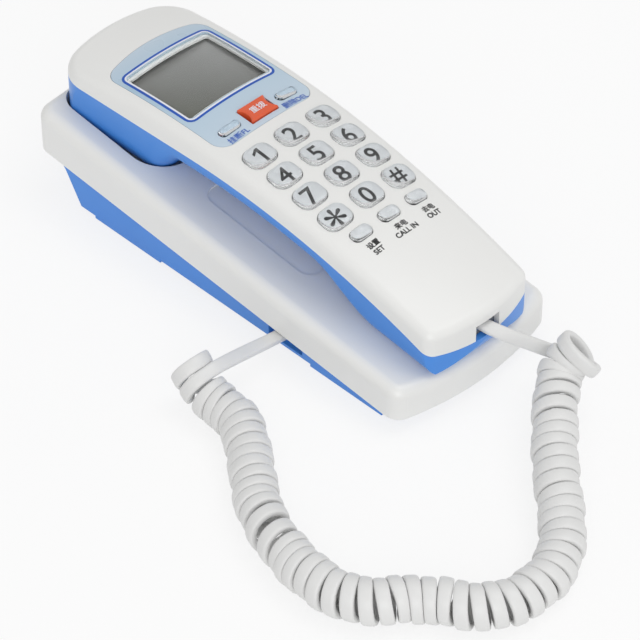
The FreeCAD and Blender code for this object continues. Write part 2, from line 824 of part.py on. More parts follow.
def jack(label, plug, place):
    """A socket block with a mouth for its plug, and a comb of contact wires on the mouth's roof."""
    width, height, length = plug
    mouth = f"({width} + 2 * plug_gap)"
    tall = f"({height} + 2 * plug_gap + latch_height)"
    deep = f"({length} + plug_gap)"
    case = block(
        f"{label}_case",
        (f"-{mouth} / 2 - jack_wall", f"-{deep} - jack_back", f"-{tall} / 2 - jack_wall / 2"),
        (f"{mouth} + 2 * jack_wall", f"{deep} + jack_back", f"{tall} + jack_wall"))
    hollow = block(
        f"{label}_mouth", (f"-{mouth} / 2", f"-{deep}", f"-{tall} / 2"), (mouth, f"{deep} + 1", tall))
    socket = cut(label, case, hollow)
    wires = []
    for index in range(4):
        x = f"({index} - 1.5) * contact_pitch - contact_width / 2"
        wires.append(block(
            f"{label}_wire_{index}", (x, f"-{deep}", f"-{tall} / 2"),
            ("contact_width", f"{deep} / 2", "plug_gap")))
    contacts = group(f"{label}_contacts", *wires)
    for piece, name in ((socket, label), (contacts, f"{label}_contacts")):
        tie(piece, Placement=place)
        node(piece, name)


def plug_piece(label, place):
    """A clear modular plug: a block with its latch tongue on top and a sleeve for the cord."""
    width, height, length = PLUG
    deep = f"({length} - plug_gap)"
    case = block(
        f"{label}_case",
        (f"-{width} / 2", f"-{deep}", f"-{height} / 2 - latch_height / 2"), (width, deep, height))
    latch = block(
        f"{label}_latch", ("-latch_width / 2", f"-{deep} / 2", f"{height} / 2 - latch_height / 2"),
        ("latch_width", "latch_length", "latch_height"))
    piece = fuse(label, case, latch)
    tie(piece, Placement=place)
    return node(piece, label)


def make_jacks():
    handset_mouth = f"vector(0; {FRONT} + handset_jack_setback + shell_wall; handset_jack_height)"
    handset_place = f"placement({handset_mouth}; rotation(vector(0; 0; 1); 180))"
    base_y = f"{BASE_FRONT} + base_jack_distance"
    tall = "(plug_height + 2 * plug_gap + latch_height)"
    base_z = f"(floor_height + base_wall + {tall} / 2 + jack_wall / 2)"
    base_mouth = f"vector(-tub_width / 2 + base_jack_setback; {base_y}; {base_z})"
    base_place = f"placement({base_mouth}; rotation(vector(0; 0; 1); 90))"
    jack("handset_jack", PLUG, handset_place)
    jack("base_cord_jack", PLUG, base_place)
    plug_piece("handset_plug", handset_place)
    plug_piece("base_plug", base_place)
    tall = "(line_plug_height + 2 * plug_gap + latch_height)"
    line_z = f"base_board_height + board_thickness + {tall} / 2 + jack_wall / 2"
    line_y = f"{HEEL} - line_jack_setback"
    jack("line_jack", LINE_PLUG, f"placement(vector(0; {line_y}; {line_z}); rotation(vector(0; 0; 1); 0))")


# Base shells
def base_plan(inset):
    half = size("base_width") / 2 - inset
    return plan_prism(
        half, half, base_front + inset, base_rear - inset, size("base_front_bow"), size("base_rear_bow"),
        size("base_front_corner") - inset, size("base_rear_corner") - inset)


def base_form(inset):
    """The base's upper half: solid between its sloping rim and its sloping top, or the room inside it."""
    start, end = base_front - base_wall, base_rear + base_wall
    drop = FAR / 2 if inset else 0
    slab = side_prism([
        (start, rim_bottom(start) - drop),
        (end, rim_bottom(end) - drop),
        (end, base_top(end) - inset),
        (start, base_top(start) - inset),
    ])
    form = only_solid(base_plan(inset).common(slab))
    top = max(form.Faces, key=lambda face: face.normalAt(0, 0).z * face.Area)
    return form.makeFillet(size("base_edge_radius") - inset, top.Edges)


def rim_ledge():
    """The ring that closes the rim's underside round the lower shell."""
    start, end, lip = base_front, base_rear, size("ledge_thickness")
    step = size("rest_gap")
    slab = side_prism([
        (start, rim_bottom(start) + step),
        (end, rim_bottom(end) + step),
        (end, rim_bottom(end) + lip),
        (start, rim_bottom(start) + lip),
    ])
    gap = 2 * size("fit_gap")
    nose, tail = base_front + size("tub_front_inset") - gap, base_rear - size("tub_rear_inset") + gap
    hole = slot_prism(size("tub_width") + 2 * gap, tail - nose, size("tub_corner_radius") + gap, FAR)
    hole.translate(V(0, (nose + tail) / 2, 0))
    return base_plan(base_wall / 2).common(slab).cut(hole)


def over_top(sink):
    """All that lies over the base's sloping top, or over a copy of it that is sunk below it."""
    start, end = base_front, base_rear
    low, high = base_top(start) - sink, base_top(end) - sink
    return side_prism([(start, low), (end, high), (end, FAR), (start, FAR)])


def well_plan(swell):
    """The outline of the ear bulge, where it passes through the base's top, with room round it."""
    lean = size("side_draft") * (size("parting_height") - size("base_rear_height"))
    half = size("handset_ear_width") / 2 - lean + size("well_clearance") + swell
    y_front = base_front + size("well_start") - swell
    drop = size("parting_height") - size("base_rear_height")
    slant = size("ear_slant") * drop / (size("parting_height") - size("ear_bottom"))
    y_rear = rear - slant + size("well_clearance") + swell
    front_radius, rear_radius = size("well_front_corner") + swell, size("well_rear_corner") + swell
    bow = 0.5
    return plan_prism(half, half, y_front, y_rear, bow, bow, front_radius, rear_radius)


def well_floor():
    return size("ear_bottom") - size("well_gap")


def raised(prism, height):
    lifted = prism.copy()
    lifted.translate(V(0, 0, height))
    return lifted


def base_screw_spots():
    half = size("base_screw_spacing") / 2
    places = [base_front + size("base_screw_front"), base_front + size("base_screw_rear")]
    return [(side * half, y) for y in places for side in (-1, 1)]


def screw_shoulder():
    """Where the base's lower shell hands over to the bosses of its upper shell."""
    return size("floor_height") + base_wall + size("screw_clearance")


def make_base_top():
    inside = base_form(base_wall / 2)
    tub = raised(well_plan(base_wall), well_floor() - base_wall).common(inside)
    shell = base_form(0).cut(base_form(base_wall)).fuse([tub, rim_ledge()])
    pit = raised(well_plan(base_wall / 2), well_floor() - base_wall / 2)
    pilot = size("screw_radius") + size("screw_clearance")
    for x, y in base_screw_spots():
        boss = Part.makeCylinder(pilot + size("boss_wall"), FAR / 4, V(x, y, screw_shoulder()))
        shell = shell.fuse(boss.common(inside).cut(pit))
    shell = shell.cut(raised(well_plan(0), well_floor()))
    for x, y in base_screw_spots():
        shell = shell.cut(Part.makeCylinder(pilot, size("screw_length"), V(x, y, screw_shoulder() - 1)))
    recess = slot_prism(size("recess_width"), size("recess_length"), size("recess_corner_radius"), FAR)
    recess.translate(V(0, base_front + size("recess_start") + size("recess_length") / 2, 0))
    shell = shell.cut(recess.common(over_top(size("recess_depth"))))
    bore = size("plunger_radius") + size("plunger_clearance")
    hole = Part.makeCylinder(bore, FAR / 4, V(0, base_front + size("hook_distance"), size("floor_height")))
    formed("base_top_shell", only_solid(shell.cut(hole)))


def outline_sketch(body, name, points):
    """A closed sketch of straight lines in the body's YZ plane, each corner bound to two formulas."""
    plane = next(part for part in body.Origin.OriginFeatures if part.Role == "YZ_Plane")
    sketch = body.newObject("Sketcher::SketchObject", name)
    sketch.AttachmentSupport = [(plane, "")]
    sketch.MapMode = "FlatFace"
    count = len(points)
    rough = [V(math.cos(2 * math.pi * k / count), math.sin(2 * math.pi * k / count), 0) for k in range(count)]
    for index in range(count):
        sketch.addGeometry(Part.LineSegment(rough[index], rough[(index + 1) % count]), False)
    for index in range(count):
        sketch.addConstraint(Sketcher.Constraint("Coincident", index, 2, (index + 1) % count, 1))
    for index, corner in enumerate(points):
        for direction, formula in zip(("DistanceX", "DistanceY"), corner):
            number = sketch.addConstraint(Sketcher.Constraint(direction, -1, 1, index, 1, 1.0))
            tie(sketch, **{f"Constraints[{number}]": formula})
    doc.recompute()
    return sketch


def rim_at(y):
    """Formula of the rim's lower edge at a place along the base."""
    return f"(rim_front_height + (rim_rear_height - rim_front_height) * ({y} - {BASE_FRONT}) / base_length)"


NOSE = f"({BASE_FRONT} + tub_front_inset)"
HEEL = f"({NOSE} + tub_floor_length)"
KNEE = f"({BASE_FRONT} + base_length - tub_flare_inset)"
TAIL = f"({BASE_FRONT} + base_length - tub_rear_inset)"


def tub_waste():
    """What is cut off the lower shell's block: above the lip inside the rim, and behind the rear wall."""
    ahead, behind = f"({NOSE} - base_wall)", f"({TAIL} + base_wall)"
    under, over = "floor_height - base_wall", "base_rear_height"
    return [
        (ahead, f"{rim_at(ahead)} + rim_lip"),
        (TAIL, f"{rim_at(TAIL)} + rim_lip"),
        (TAIL, rim_at(TAIL)),
        (KNEE, f"{rim_at(KNEE)} - tub_flare_drop"),
        (HEEL, "floor_height"),
        (HEEL, under),
        (behind, under),
        (behind, over),
        (ahead, over),
    ]


def tub_hollow():
    """The room inside the lower shell: a flat floor, a leaning rear wall and a flare under the rim."""
    floor, over = "floor_height + base_wall", "base_rear_height"
    return [
        (f"{NOSE} + base_wall", floor),
        (f"{HEEL} - base_wall", floor),
        (f"{KNEE} - base_wall", f"{rim_at(KNEE)} - tub_flare_drop"),
        (f"{TAIL} - base_wall", rim_at(TAIL)),
        (f"{TAIL} - base_wall", over),
        (f"{NOSE} + base_wall", over),
    ]


def side_pocket(body, name, outline, width):
    """Cut a side outline out of a body, so far across."""
    feature = body.newObject("PartDesign::Pocket", name)
    feature.Profile = outline_sketch(body, f"{name}_outline", outline)
    feature.SideType = "Symmetric"
    tie(feature, Length=width)
    doc.recompute()


def pocket(body, name, low, span):
    return body_feature(body, "SubtractiveBox", name, low, Length=span[0], Width=span[1], Height=span[2])


def make_base_bottom():
    body = doc.addObject("PartDesign::Body", "base_bottom_shell")
    tub = body_feature(
        body, "AdditiveBox", "tub_block", ("-tub_width / 2", NOSE, "floor_height"),
        Length="tub_width", Width=f"{TAIL} - {NOSE}", Height="base_rear_height - floor_height - 1")
    doc.recompute()
    dress(body, "Fillet", tub, corner_edges(tub, True), Radius="tub_corner_radius")
    side_pocket(body, "tub_trim", tub_waste(), "2 * tub_width")
    side_pocket(body, "tub_inside", tub_hollow(), "tub_width - 2 * base_wall")
    for name, start in (("front_bar", "front_bar_start"), ("rear_bar", "rear_bar_start")):
        low = ("-tub_width / 2", f"{BASE_FRONT} + {start}", "floor_height - bar_drop")
        body_feature(
            body, "AdditiveBox", name, low, Length="tub_width", Width="bar_length", Height="bar_drop")
    standoffs(body, "(floor_height + base_wall)")
    jack_y = f"{BASE_FRONT} + base_jack_distance - base_jack_recess / 2"
    pocket(body, "cord_recess", ("-tub_width", jack_y, "floor_height + base_wall / 2"),
           ("tub_width / 2 + base_wall + fit_gap", "base_jack_recess", "base_front_height"))
    line_wide = "(line_plug_width + 2 * plug_gap + jack_wall)"
    line_tall = "(line_plug_height + 2 * plug_gap + latch_height + jack_wall / 2)"
    line_foot = "base_board_height + board_thickness + jack_wall / 4"
    line_low = (f"-{line_wide} / 2", f"{HEEL} - line_jack_setback", line_foot)
    pocket(body, "line_opening", line_low, (line_wide, "base_width", line_tall))
    screw_holes(body)
    foot_recesses(body)
    node(body, "base_bottom_shell")


def standoffs(body, inner):
    """Four posts that carry the circuit board."""
    board_y = f"{HEEL} - base_board_end"
    for side in (-1, 1):
        for name, y in (("far", f"{board_y} - standoff_inset"),
                        ("near", f"{board_y} - base_board_length + standoff_inset")):
            x = f"{side} * (base_board_width / 2 - standoff_inset)"
            body_feature(
                body, "AdditiveCylinder", f"standoff_{name}_{side + 1}", (x, y, f"{inner} - 0.5"),
                Radius="standoff_radius", Height=f"base_board_height - {inner} + 0.5")


def screw_holes(body):
    for row, y in (("front", "base_screw_front"), ("rear", "base_screw_rear")):
        for side in (-1, 1):
            spot = (f"{side} * base_screw_spacing / 2", f"{BASE_FRONT} + {y}")
            body_feature(
                body, "SubtractiveCylinder", f"{row}_hole_{side + 1}", (*spot, "-1"),
                Radius="screw_radius + screw_clearance", Height="floor_height + base_wall + 2")
            body_feature(
                body, "SubtractiveCylinder", f"{row}_sink_{side + 1}", (*spot, "-1"),
                Radius="screw_head_radius + screw_clearance", Height="floor_height + base_wall / 2 + 1")


def foot_spots():
    for start in ("front_bar_start", "rear_bar_start"):
        for side in (-1, 1):
            yield f"{side} * foot_spacing / 2", f"{BASE_FRONT} + {start} + bar_length / 2"


def foot_recesses(body):
    for index, (x, y) in enumerate(foot_spots()):
        body_feature(
            body, "SubtractiveCylinder", f"foot_recess_{index}", (x, y, "-1"),
            Radius="foot_radius + fit_gap", Height="foot_height + 1")


def make_feet():
    feet = [rod(f"foot_{index}", (x, y, "0"), "foot_radius", "foot_height")
            for index, (x, y) in enumerate(foot_spots())]
    node(group("rubber_feet", *feet), "rubber_feet")


def screw(name, x, y, seat):
    """A pan-head screw pointing up, its head's flat against the seat."""
    foot = f"{seat} - screw_head_height"
    head = rod(f"{name}_head", (x, y, foot), "screw_head_radius", "screw_head_height")
    shank = rod(f"{name}_shank", (x, y, seat), "screw_radius", "screw_length - 1")
    return fuse(name, head, shank)


def make_screws():
    seat = "(floor_height + base_wall / 2)"
    base = []
    for row, y in (("front", "base_screw_front"), ("rear", "base_screw_rear")):
        for side in (-1, 1):
            x = f"{side} * base_screw_spacing / 2"
            base.append(screw(f"base_screw_{row}_{side + 1}", x, f"{BASE_FRONT} + {y}", seat))
    node(group("base_screws", *base), "base_screws")
    seat = mouth_floor(f"{FRONT} + handset_screw_distance")
    handset = []
    for side in (-1, 1):
        x = f"{side} * handset_screw_spacing / 2"
        handset.append(screw(f"handset_screw_{side + 1}", x, f"{FRONT} + handset_screw_distance", seat))
    node(group("handset_screws", *handset), "handset_screws")


# Works of the base
def make_spring():
    """The coil that lifts the plunger, between the switch and the plunger's collar."""
    wire_size, radius, turns = size("spring_wire"), size("spring_radius"), size("spring_turns")
    low = size("base_board_height") + size("board_thickness") + size("switch_height")
    ceiling = size("ear_bottom") - size("well_gap") - base_wall
    high = ceiling - size("plunger_travel") - size("key_stop_gap") - size("plunger_flange_height")
    room = high - low - wire_size - size("fit_gap")
    axis = V(0, base_front + size("hook_distance"), low + (wire_size + size("fit_gap")) / 2)

    def point(turn):
        angle = 2 * math.pi * turn
        return axis + V(radius * math.cos(angle), radius * math.sin(angle), room * turn / turns)

    def way(turn):
        angle = 2 * math.pi * turn
        round_way = V(-math.sin(angle), math.cos(angle), 0) * (2 * math.pi * radius)
        return (round_way + V(0, 0, room / turns)).normalize()

    path = wire(*biarc_path(point, way, turns))
    formed("hook_spring", tube(path, wire_size, point(0), way(0)))


def make_base_works():
    board_y = f"{HEEL} - base_board_end - base_board_length"
    board = block(
        "base_board", ("-base_board_width / 2", board_y, "base_board_height"),
        ("base_board_width", "base_board_length", "board_thickness"))
    node(board, "base_board")
    hook = f"{BASE_FRONT} + hook_distance"
    deck = "(base_board_height + board_thickness)"
    case = block(
        "hook_switch", ("-switch_length / 2", f"{hook} - switch_width / 2", deck),
        ("switch_length", "switch_width", "switch_height"))
    node(case, "hook_switch")
    top = "(ear_bottom - rest_gap)"
    ceiling = "(ear_bottom - well_gap - base_wall)"
    flange = f"({ceiling} - plunger_travel - key_stop_gap - plunger_flange_height)"
    tip = f"({deck} + switch_height + key_stop_gap)"
    head = rod("plunger_head", ("0", hook, flange), "plunger_radius", f"{top} - {flange}")
    collar = rod("plunger_collar", ("0", hook, flange), "plunger_flange_radius", "plunger_flange_height")
    stem = rod("plunger_stem", ("0", hook, tip), "plunger_stem_radius", f"{flange} - {tip}")
    node(fuse("hook_plunger", head, collar, stem), "hook_plunger")
    make_spring()
    ringer = rod(
        "ringer", ("0", f"{BASE_FRONT} + ringer_distance", "floor_height + base_wall"), "ringer_radius",
        "ringer_height")
    node(ringer, "ringer")


# Cords
def biarc(start, start_way, end, end_way):
    """Two tangent arcs from one point and direction to another."""
    chord = end - start
    ways = start_way + end_way
    spread = 2 * (1 - start_way.dot(end_way))
    along = chord.dot(ways)
    reach = (-along + math.sqrt(along ** 2 + spread * chord.dot(chord))) / spread
    first, second = start + start_way * reach, end - end_way * reach
    joint = (first + second) / 2
    return [arc(start, first, joint), arc(joint, second, end)]


def biarc_path(point, way, turns):
    """Biarcs along a coil, a quarter turn each."""
    edges = []
    steps = round(turns * 4)
    for step in range(steps):
        low, high = turns * step / steps, turns * (step + 1) / steps
        edges += biarc(point(low), way(low), point(high), way(high))
    return edges


def arc(start, corner, end):
    """The arc that touches both legs of a corner at its two ends."""
    leg, other = (corner - start).normalize(), (end - corner).normalize()
    weight = math.cos(leg.getAngle(other) / 2)
    through = (start + end + corner * (2 * weight)) / (2 + 2 * weight)
    return Part.Arc(start, through, end)


def tube(path, diameter, start, way):
    """A round tube along a wire of lines and tangent arcs."""
    ring = Part.Wire([Part.Circle(start, way, diameter / 2).toShape()])
    return path.makePipeShell([ring], True, False)


def rounded_path(points):
    """Straight runs joined by tangent arcs as large as the runs allow; gives the path and its radii."""
    edges, radii = [], []
    last = points[0]
    for before, corner, after in zip(points, points[1:], points[2:]):
        inward, outward = (corner - before).normalize(), (after - corner).normalize()
        reach = 0.45 * min((corner - before).Length, (after - corner).Length)
        begin, end = corner - inward * reach, corner + outward * reach
        radii.append(reach / math.tan(inward.getAngle(outward) / 2))
        edges += [Part.LineSegment(last, begin), arc(begin, corner, end)]
        last = end
    edges.append(Part.LineSegment(last, points[-1]))
    return wire(*edges), radii


def make_lead(label, points):
    """A plain length of the cord through a few points."""
    diameter = size("cord_diameter")
    path, radii = rounded_path(points)
    solid = tube(path, diameter, points[0], points[1] - points[0])
    share = solid.Volume / (math.pi * diameter ** 2 / 4 * path.Length)
    rounded = [round(radius, 1) for radius in radii]
    print(label, "length", round(path.Length, 1), "radii", rounded, "volume", round(share, 4))
    formed(label, solid)


def spline(points):
    """The smooth line that a route's points pull: a clamped curve of second degree."""
    inner = len(points) - 2
    knots = list(range(inner + 1))
    counts = [3] + [1] * (inner - 1) + [3]
    curve = Part.BSplineCurve()
    curve.buildFromPolesMultsKnots(points, counts, knots, False, 2)
    return curve


# Middle line of the curls, lying on the table and then rising to the handset
CURL_ROUTE = [
    V(-63.0, -20.0, 7.5),
    V(-67.0, -32.0, 7.5),
    V(-71.0, -46.5, 7.5),
    V(-79.0, -63.0, 7.5),
    V(-91.5, -79.5, 7.5),
    V(-97.5, -100.0, 7.5),
    V(-98.5, -116.0, 7.5),
    V(-93.0, -128.0, 7.5),
    V(-80.5, -136.5, 7.5),
    V(-73.0, -151.5, 7.5),
    V(-58.5, -158.0, 7.5),
    V(-42.5, -155.0, 7.5),
    V(-30.5, -145.0, 8.0),
    V(-19.0, -131.0, 12.5),
    V(-5.5, -118.5, 18.5),
    V(3.5, -113.0, 23.5),
    V(9.0, -111.5, 29.0),
]


class Curls:
    """A right-handed helix round a middle line; each end is led out over its last few turns."""

    def __init__(self, route):
        self.curve = spline(route)
        self.length = self.curve.length()
        self.turns = size("curl_turns") + size("curl_end_angle") / 360
        self.pitch = self.length / (self.turns - 0.5)

    def lead_out(self, turn, overlap):
        """How far the cord is drawn back over the turns near an end, and how far outside them."""
        back = overlap * self.pitch * (1 - smooth(turn / 0.35))
        outside = size("curl_lead_rise") * (1 - smooth((turn - 0.2) / 0.3))
        return back, outside

    def point(self, turn):
        first, first_rise = self.lead_out(turn, size("base_end_overlap"))
        last, last_rise = self.lead_out(self.turns - turn, size("handset_end_overlap"))
        run = self.pitch * (turn - 0.25) + first - last
        spot = self.curve.parameterAtDistance(min(max(run, 0.001), self.length - 0.001), 0.0)
        way = V(*self.curve.tangent(spot)[0])
        side = way.cross(V(0, 0, 1)).normalize()
        up = side.cross(way)
        angle = 2 * math.pi * turn
        radius = size("curl_radius") + first_rise + last_rise
        return self.curve.value(spot) + (up * math.cos(angle) + side * math.sin(angle)) * radius

    def way(self, turn):
        nudge = 1e-4
        low, high = max(turn - nudge, 0.0), min(turn + nudge, self.turns)
        return (self.point(high) - self.point(low)).normalize()


def make_cord():
    """Two leads and the curls between them, one cord from plug to plug."""
    diameter = size("cord_diameter")
    curls = Curls(CURL_ROUTE)
    start, start_way = curls.point(0), curls.way(0)
    end, end_way = curls.point(curls.turns), curls.way(curls.turns)
    first, last = start - start_way * diameter, end + end_way * diameter
    edges = biarc_path(curls.point, curls.way, curls.turns)
    edges = [Part.LineSegment(first, start)] + edges + [Part.LineSegment(end, last)]
    path = wire(*edges)
    solid = tube(path, diameter, first, start_way)
    formed("cord_curls", solid)
    share = solid.Volume / (math.pi * diameter ** 2 / 4 * path.Length)
    gap = round(least_gap(edges), 2)
    print("cord_curls length", round(path.Length, 1), "volume", round(share, 4), "gap", gap)
    run = size("lead_run")
    base_exit = doc.getObject("base_plug").Placement.Base
    base_exit = base_exit - V(0, 0, size("latch_height") / 2)
    make_lead("cord_lead_base", [base_exit, base_exit - V(run, 0, 0), first - start_way * run * 1.2, first])
    exit_spot = doc.getObject("handset_plug").Placement.Base
    exit_spot = exit_spot - V(0, 0, size("latch_height") / 2)
    run = 0.75 * run
    make_lead("cord_lead_handset", [exit_spot, exit_spot - V(0, run, 0), last + end_way * run, last])


def least_gap(edges):
    """Least gap of the curls to themselves, measured on points along the path."""
    points, run = [], []
    travelled = 0.0
    for edge in edges:
        for share in (0.0, 0.25, 0.5, 0.75):
            spot = edge.FirstParameter + (edge.LastParameter - edge.FirstParameter) * share
            points.append(edge.value(spot))
            run.append(travelled + edge.length() * share)
        travelled += edge.length()
    apart = 3 * size("cord_diameter")
    least = FAR
    reach = 130
    for index, point in enumerate(points):
        for other in range(index + 1, min(index + reach, len(points))):
            if run[other] - run[index] > apart:
                least = min(least, (points[other] - point).Length)
    return least - size("cord_diameter")


def main():
    make_handset_top()
    make_handset_bottom()
    make_panel()
    make_keys()
    make_display()
    make_keypad_boards()
    make_sound_parts()
    make_jacks()
    make_base_top()
    make_base_bottom()
    make_feet()
    make_screws()
    make_base_works()
    doc.recompute()
    make_cord()
    doc.recompute()
    for obj in doc.Objects:
        if "Invalid" in obj.State or "Error" in obj.State:
            raise RuntimeError(f"{obj.Label} failed: {obj.State}")
    os.makedirs("parts", exist_ok=True)
    for obj in nodes:
        if obj.Shape.isNull() or not obj.Shape.isValid():
            raise RuntimeError(f"{obj.Label} has no valid shape")
    for obj in nodes:
        obj.Shape.exportStep(f"parts/{obj.Label}.step")
    print(len(nodes), "nodes")


main()
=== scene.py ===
import math

import bpy
from mathutils import Matrix, Vector


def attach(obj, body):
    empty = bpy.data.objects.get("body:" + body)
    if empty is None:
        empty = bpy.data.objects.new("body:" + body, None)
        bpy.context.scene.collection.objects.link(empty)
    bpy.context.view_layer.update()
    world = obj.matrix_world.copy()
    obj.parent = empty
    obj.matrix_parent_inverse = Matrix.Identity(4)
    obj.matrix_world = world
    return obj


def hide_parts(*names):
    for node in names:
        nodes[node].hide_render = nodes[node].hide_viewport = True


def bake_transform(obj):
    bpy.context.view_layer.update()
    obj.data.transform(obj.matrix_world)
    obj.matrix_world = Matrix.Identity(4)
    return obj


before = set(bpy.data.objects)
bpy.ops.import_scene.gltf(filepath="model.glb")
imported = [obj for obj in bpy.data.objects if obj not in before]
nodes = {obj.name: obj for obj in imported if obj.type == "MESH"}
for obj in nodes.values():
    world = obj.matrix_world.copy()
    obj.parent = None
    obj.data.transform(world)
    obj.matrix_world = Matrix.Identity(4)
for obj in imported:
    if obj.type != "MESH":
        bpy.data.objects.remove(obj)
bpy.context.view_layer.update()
scene = bpy.context.scene
MM = 0.001


# Camera: where the photograph was taken from
CAMERA_AZIMUTH, CAMERA_ELEVATION = math.radians(-44.872), math.radians(42.552)
CAMERA_SPOT = (-0.572903, -0.588654, 0.728613)
SENSOR_WIDTH, FOCAL_LENGTH = 36.0, 191.83
CLIP_START, CLIP_END = 0.05, 20.0


def make_camera():
    level = math.cos(CAMERA_ELEVATION)
    right = Vector((math.cos(CAMERA_AZIMUTH), math.sin(CAMERA_AZIMUTH), 0))
    back = Vector((math.sin(CAMERA_AZIMUTH) * level, -math.cos(CAMERA_AZIMUTH) * level,
                   math.sin(CAMERA_ELEVATION)))
    up = back.cross(right)
    data = bpy.data.cameras.new("camera")
    data.sensor_width, data.lens = SENSOR_WIDTH, FOCAL_LENGTH
    data.clip_start, data.clip_end = CLIP_START, CLIP_END
    camera = bpy.data.objects.new("camera", data)
    turn = Matrix((right, up, back)).transposed().to_4x4()
    camera.matrix_world = Matrix.Translation(CAMERA_SPOT) @ turn
    scene.collection.objects.link(camera)
    scene.camera = camera


# Finishes
NOISE_ROUGHNESS = 0.55
NOISE_RANGE = (0.3, 0.7)
CLOUD_SCALE, GLOSS_SCALE = 38.0, 60.0


class Paint:
    """A material's tree, with the few kinds of node that the finishes share."""

    def __init__(self, name, **values):
        self.material = bpy.data.materials.new(name)
        self.material.use_nodes = True
        self.tree = self.material.node_tree
        self.shader = self.tree.nodes["Principled BSDF"]
        self.place = self.add("ShaderNodeTexCoord").outputs["Object"]
        for word, value in values.items():
            self.shader.inputs[word.replace("_", " ")].default_value = value

    def add(self, kind, **settings):
        made = self.tree.nodes.new(kind)
        for word, value in settings.items():
            setattr(made, word, value)
        return made

    def link(self, source, target):
        self.tree.links.new(source, target)

    def noise(self, scale, detail=3.0):
        made = self.add("ShaderNodeTexNoise")
        made.inputs["Scale"].default_value = scale
        made.inputs["Detail"].default_value = detail
        made.inputs["Roughness"].default_value = NOISE_ROUGHNESS
        self.link(self.place, made.inputs["Vector"])
        return made.outputs["Fac"]

    def ramp(self, value, *stops):
        """Colours between the stops, each a spot from 0 to 1 and its colour."""
        made = self.add("ShaderNodeValToRGB")
        steps = made.color_ramp.elements
        while len(steps) < len(stops):
            steps.new(0.5)
        for step, (spot, colour) in zip(steps, stops):
            step.position, step.color = spot, (*colour, 1.0)
        self.link(value, made.inputs["Fac"])
        return made.outputs["Color"]

    def span(self, value, low, high, source=NOISE_RANGE):
        """A value's range brought to that from low to high."""
        made = self.add("ShaderNodeMapRange")
        made.inputs["From Min"].default_value = source[0]
        made.inputs["From Max"].default_value = source[1]
        made.inputs["To Min"].default_value = low
        made.inputs["To Max"].default_value = high
        self.link(value, made.inputs["Value"])
        return made.outputs["Result"]

    def bump(self, value, strength, distance):
        made = self.add("ShaderNodeBump")
        made.inputs["Strength"].default_value = strength
        made.inputs["Distance"].default_value = distance
        self.link(value, made.inputs["Height"])
        self.link(made.outputs["Normal"], self.shader.inputs["Normal"])

    def colour(self, output):
        self.link(output, self.shader.inputs["Base Color"])

    def roughness(self, output):
        self.link(output, self.shader.inputs["Roughness"])


def linear(red, green, blue):
    """A screen colour of 0 to 255 as linear light."""
    def light(channel):
        share = channel / 255
        return share / 12.92 if share <= 0.04045 else ((share + 0.055) / 1.055) ** 2.4
    return tuple(light(channel) for channel in (red, green, blue))


def shaded(colour, factor):
    return tuple(min(channel * factor, 1.0) for channel in colour)


def moulded(name, colour, rough, grain=2600.0, depth=0.02 * MM, spread=0.04, strength=0.25,
            sheen=0.12, **values):
    """Moulded plastic or rubber: faint clouds in its colour and gloss, and a fine grain."""
    paint = Paint(name, **values)
    low, high = NOISE_RANGE
    paint.colour(paint.ramp(paint.noise(CLOUD_SCALE), (low, shaded(colour, 1 - spread)),
                            (high, shaded(colour, 1 + spread / 2))))
    paint.roughness(paint.span(paint.noise(GLOSS_SCALE, 1.0), rough * (1 - sheen),
                               min(rough * (1 + sheen), 1.0)))
    paint.bump(paint.noise(grain, 2.0), strength, depth)
    return paint.material


def metal(name, colour, rough):
    """Bare or plated metal with fine marks."""
    paint = Paint(name, Metallic=1.0)
    paint.colour(paint.ramp(paint.noise(400.0), (0.35, shaded(colour, 0.85)), (0.7, colour)))
    paint.roughness(paint.span(paint.noise(900.0), rough * 0.75, rough * 1.3))
    paint.bump(paint.noise(2200.0), 0.2, 0.01 * MM)
    return paint.material


def clear(name, colour, rough, index):
    """Clear plastic with faint flow marks, which lets lamps through."""
    paint = Paint(name, Transmission_Weight=1.0, IOR=index)
    low, high = NOISE_RANGE
    paint.colour(paint.ramp(paint.noise(GLOSS_SCALE), (low, shaded(colour, 0.97)), (high, colour)))
    paint.roughness(paint.span(paint.noise(GLOSS_SCALE, 1.0), rough * 0.8, rough * 1.2))
    paint.bump(paint.noise(90.0, 0.0), 0.008, 0.03 * MM)
    through = paint.add("ShaderNodeBsdfTransparent")
    through.inputs["Color"].default_value = (*colour, 1.0)
    mix = paint.add("ShaderNodeMixShader")
    paint.link(paint.add("ShaderNodeLightPath").outputs["Is Shadow Ray"], mix.inputs["Fac"])
    paint.link(paint.shader.outputs["BSDF"], mix.inputs[1])
    paint.link(through.outputs["BSDF"], mix.inputs[2])
    paint.link(mix.outputs["Shader"], paint.tree.nodes["Material Output"].inputs["Surface"])
    return paint.material


# How far along the handset the panel's colour fades, and slantwise the display's painted shade, in
# metres
PANEL_FADE, DISPLAY_SHADE_SPAN = (0.008, 0.066), (0.009, 0.070)


def panel_print():
    """The panel's pale blue print: deeper by the display, nearly white towards the keys."""
    paint = Paint("panel_print", Coat_Weight=0.35, Coat_Roughness=0.12)
    parts = paint.add("ShaderNodeSeparateXYZ")
    paint.link(paint.place, parts.inputs["Vector"])
    fade = paint.span(parts.outputs["Y"], 0.0, 1.0, PANEL_FADE)
    paint.colour(paint.ramp(fade, (0.0, linear(200, 216, 230)), (0.35, linear(187, 209, 226)),
                            (0.75, linear(172, 199, 219)), (1.0, linear(196, 212, 226))))
    paint.roughness(paint.span(paint.noise(GLOSS_SCALE, 1.0), 0.27, 0.31))
    paint.bump(paint.noise(300.0, 1.0), 0.02, 0.01 * MM)
    return paint.material


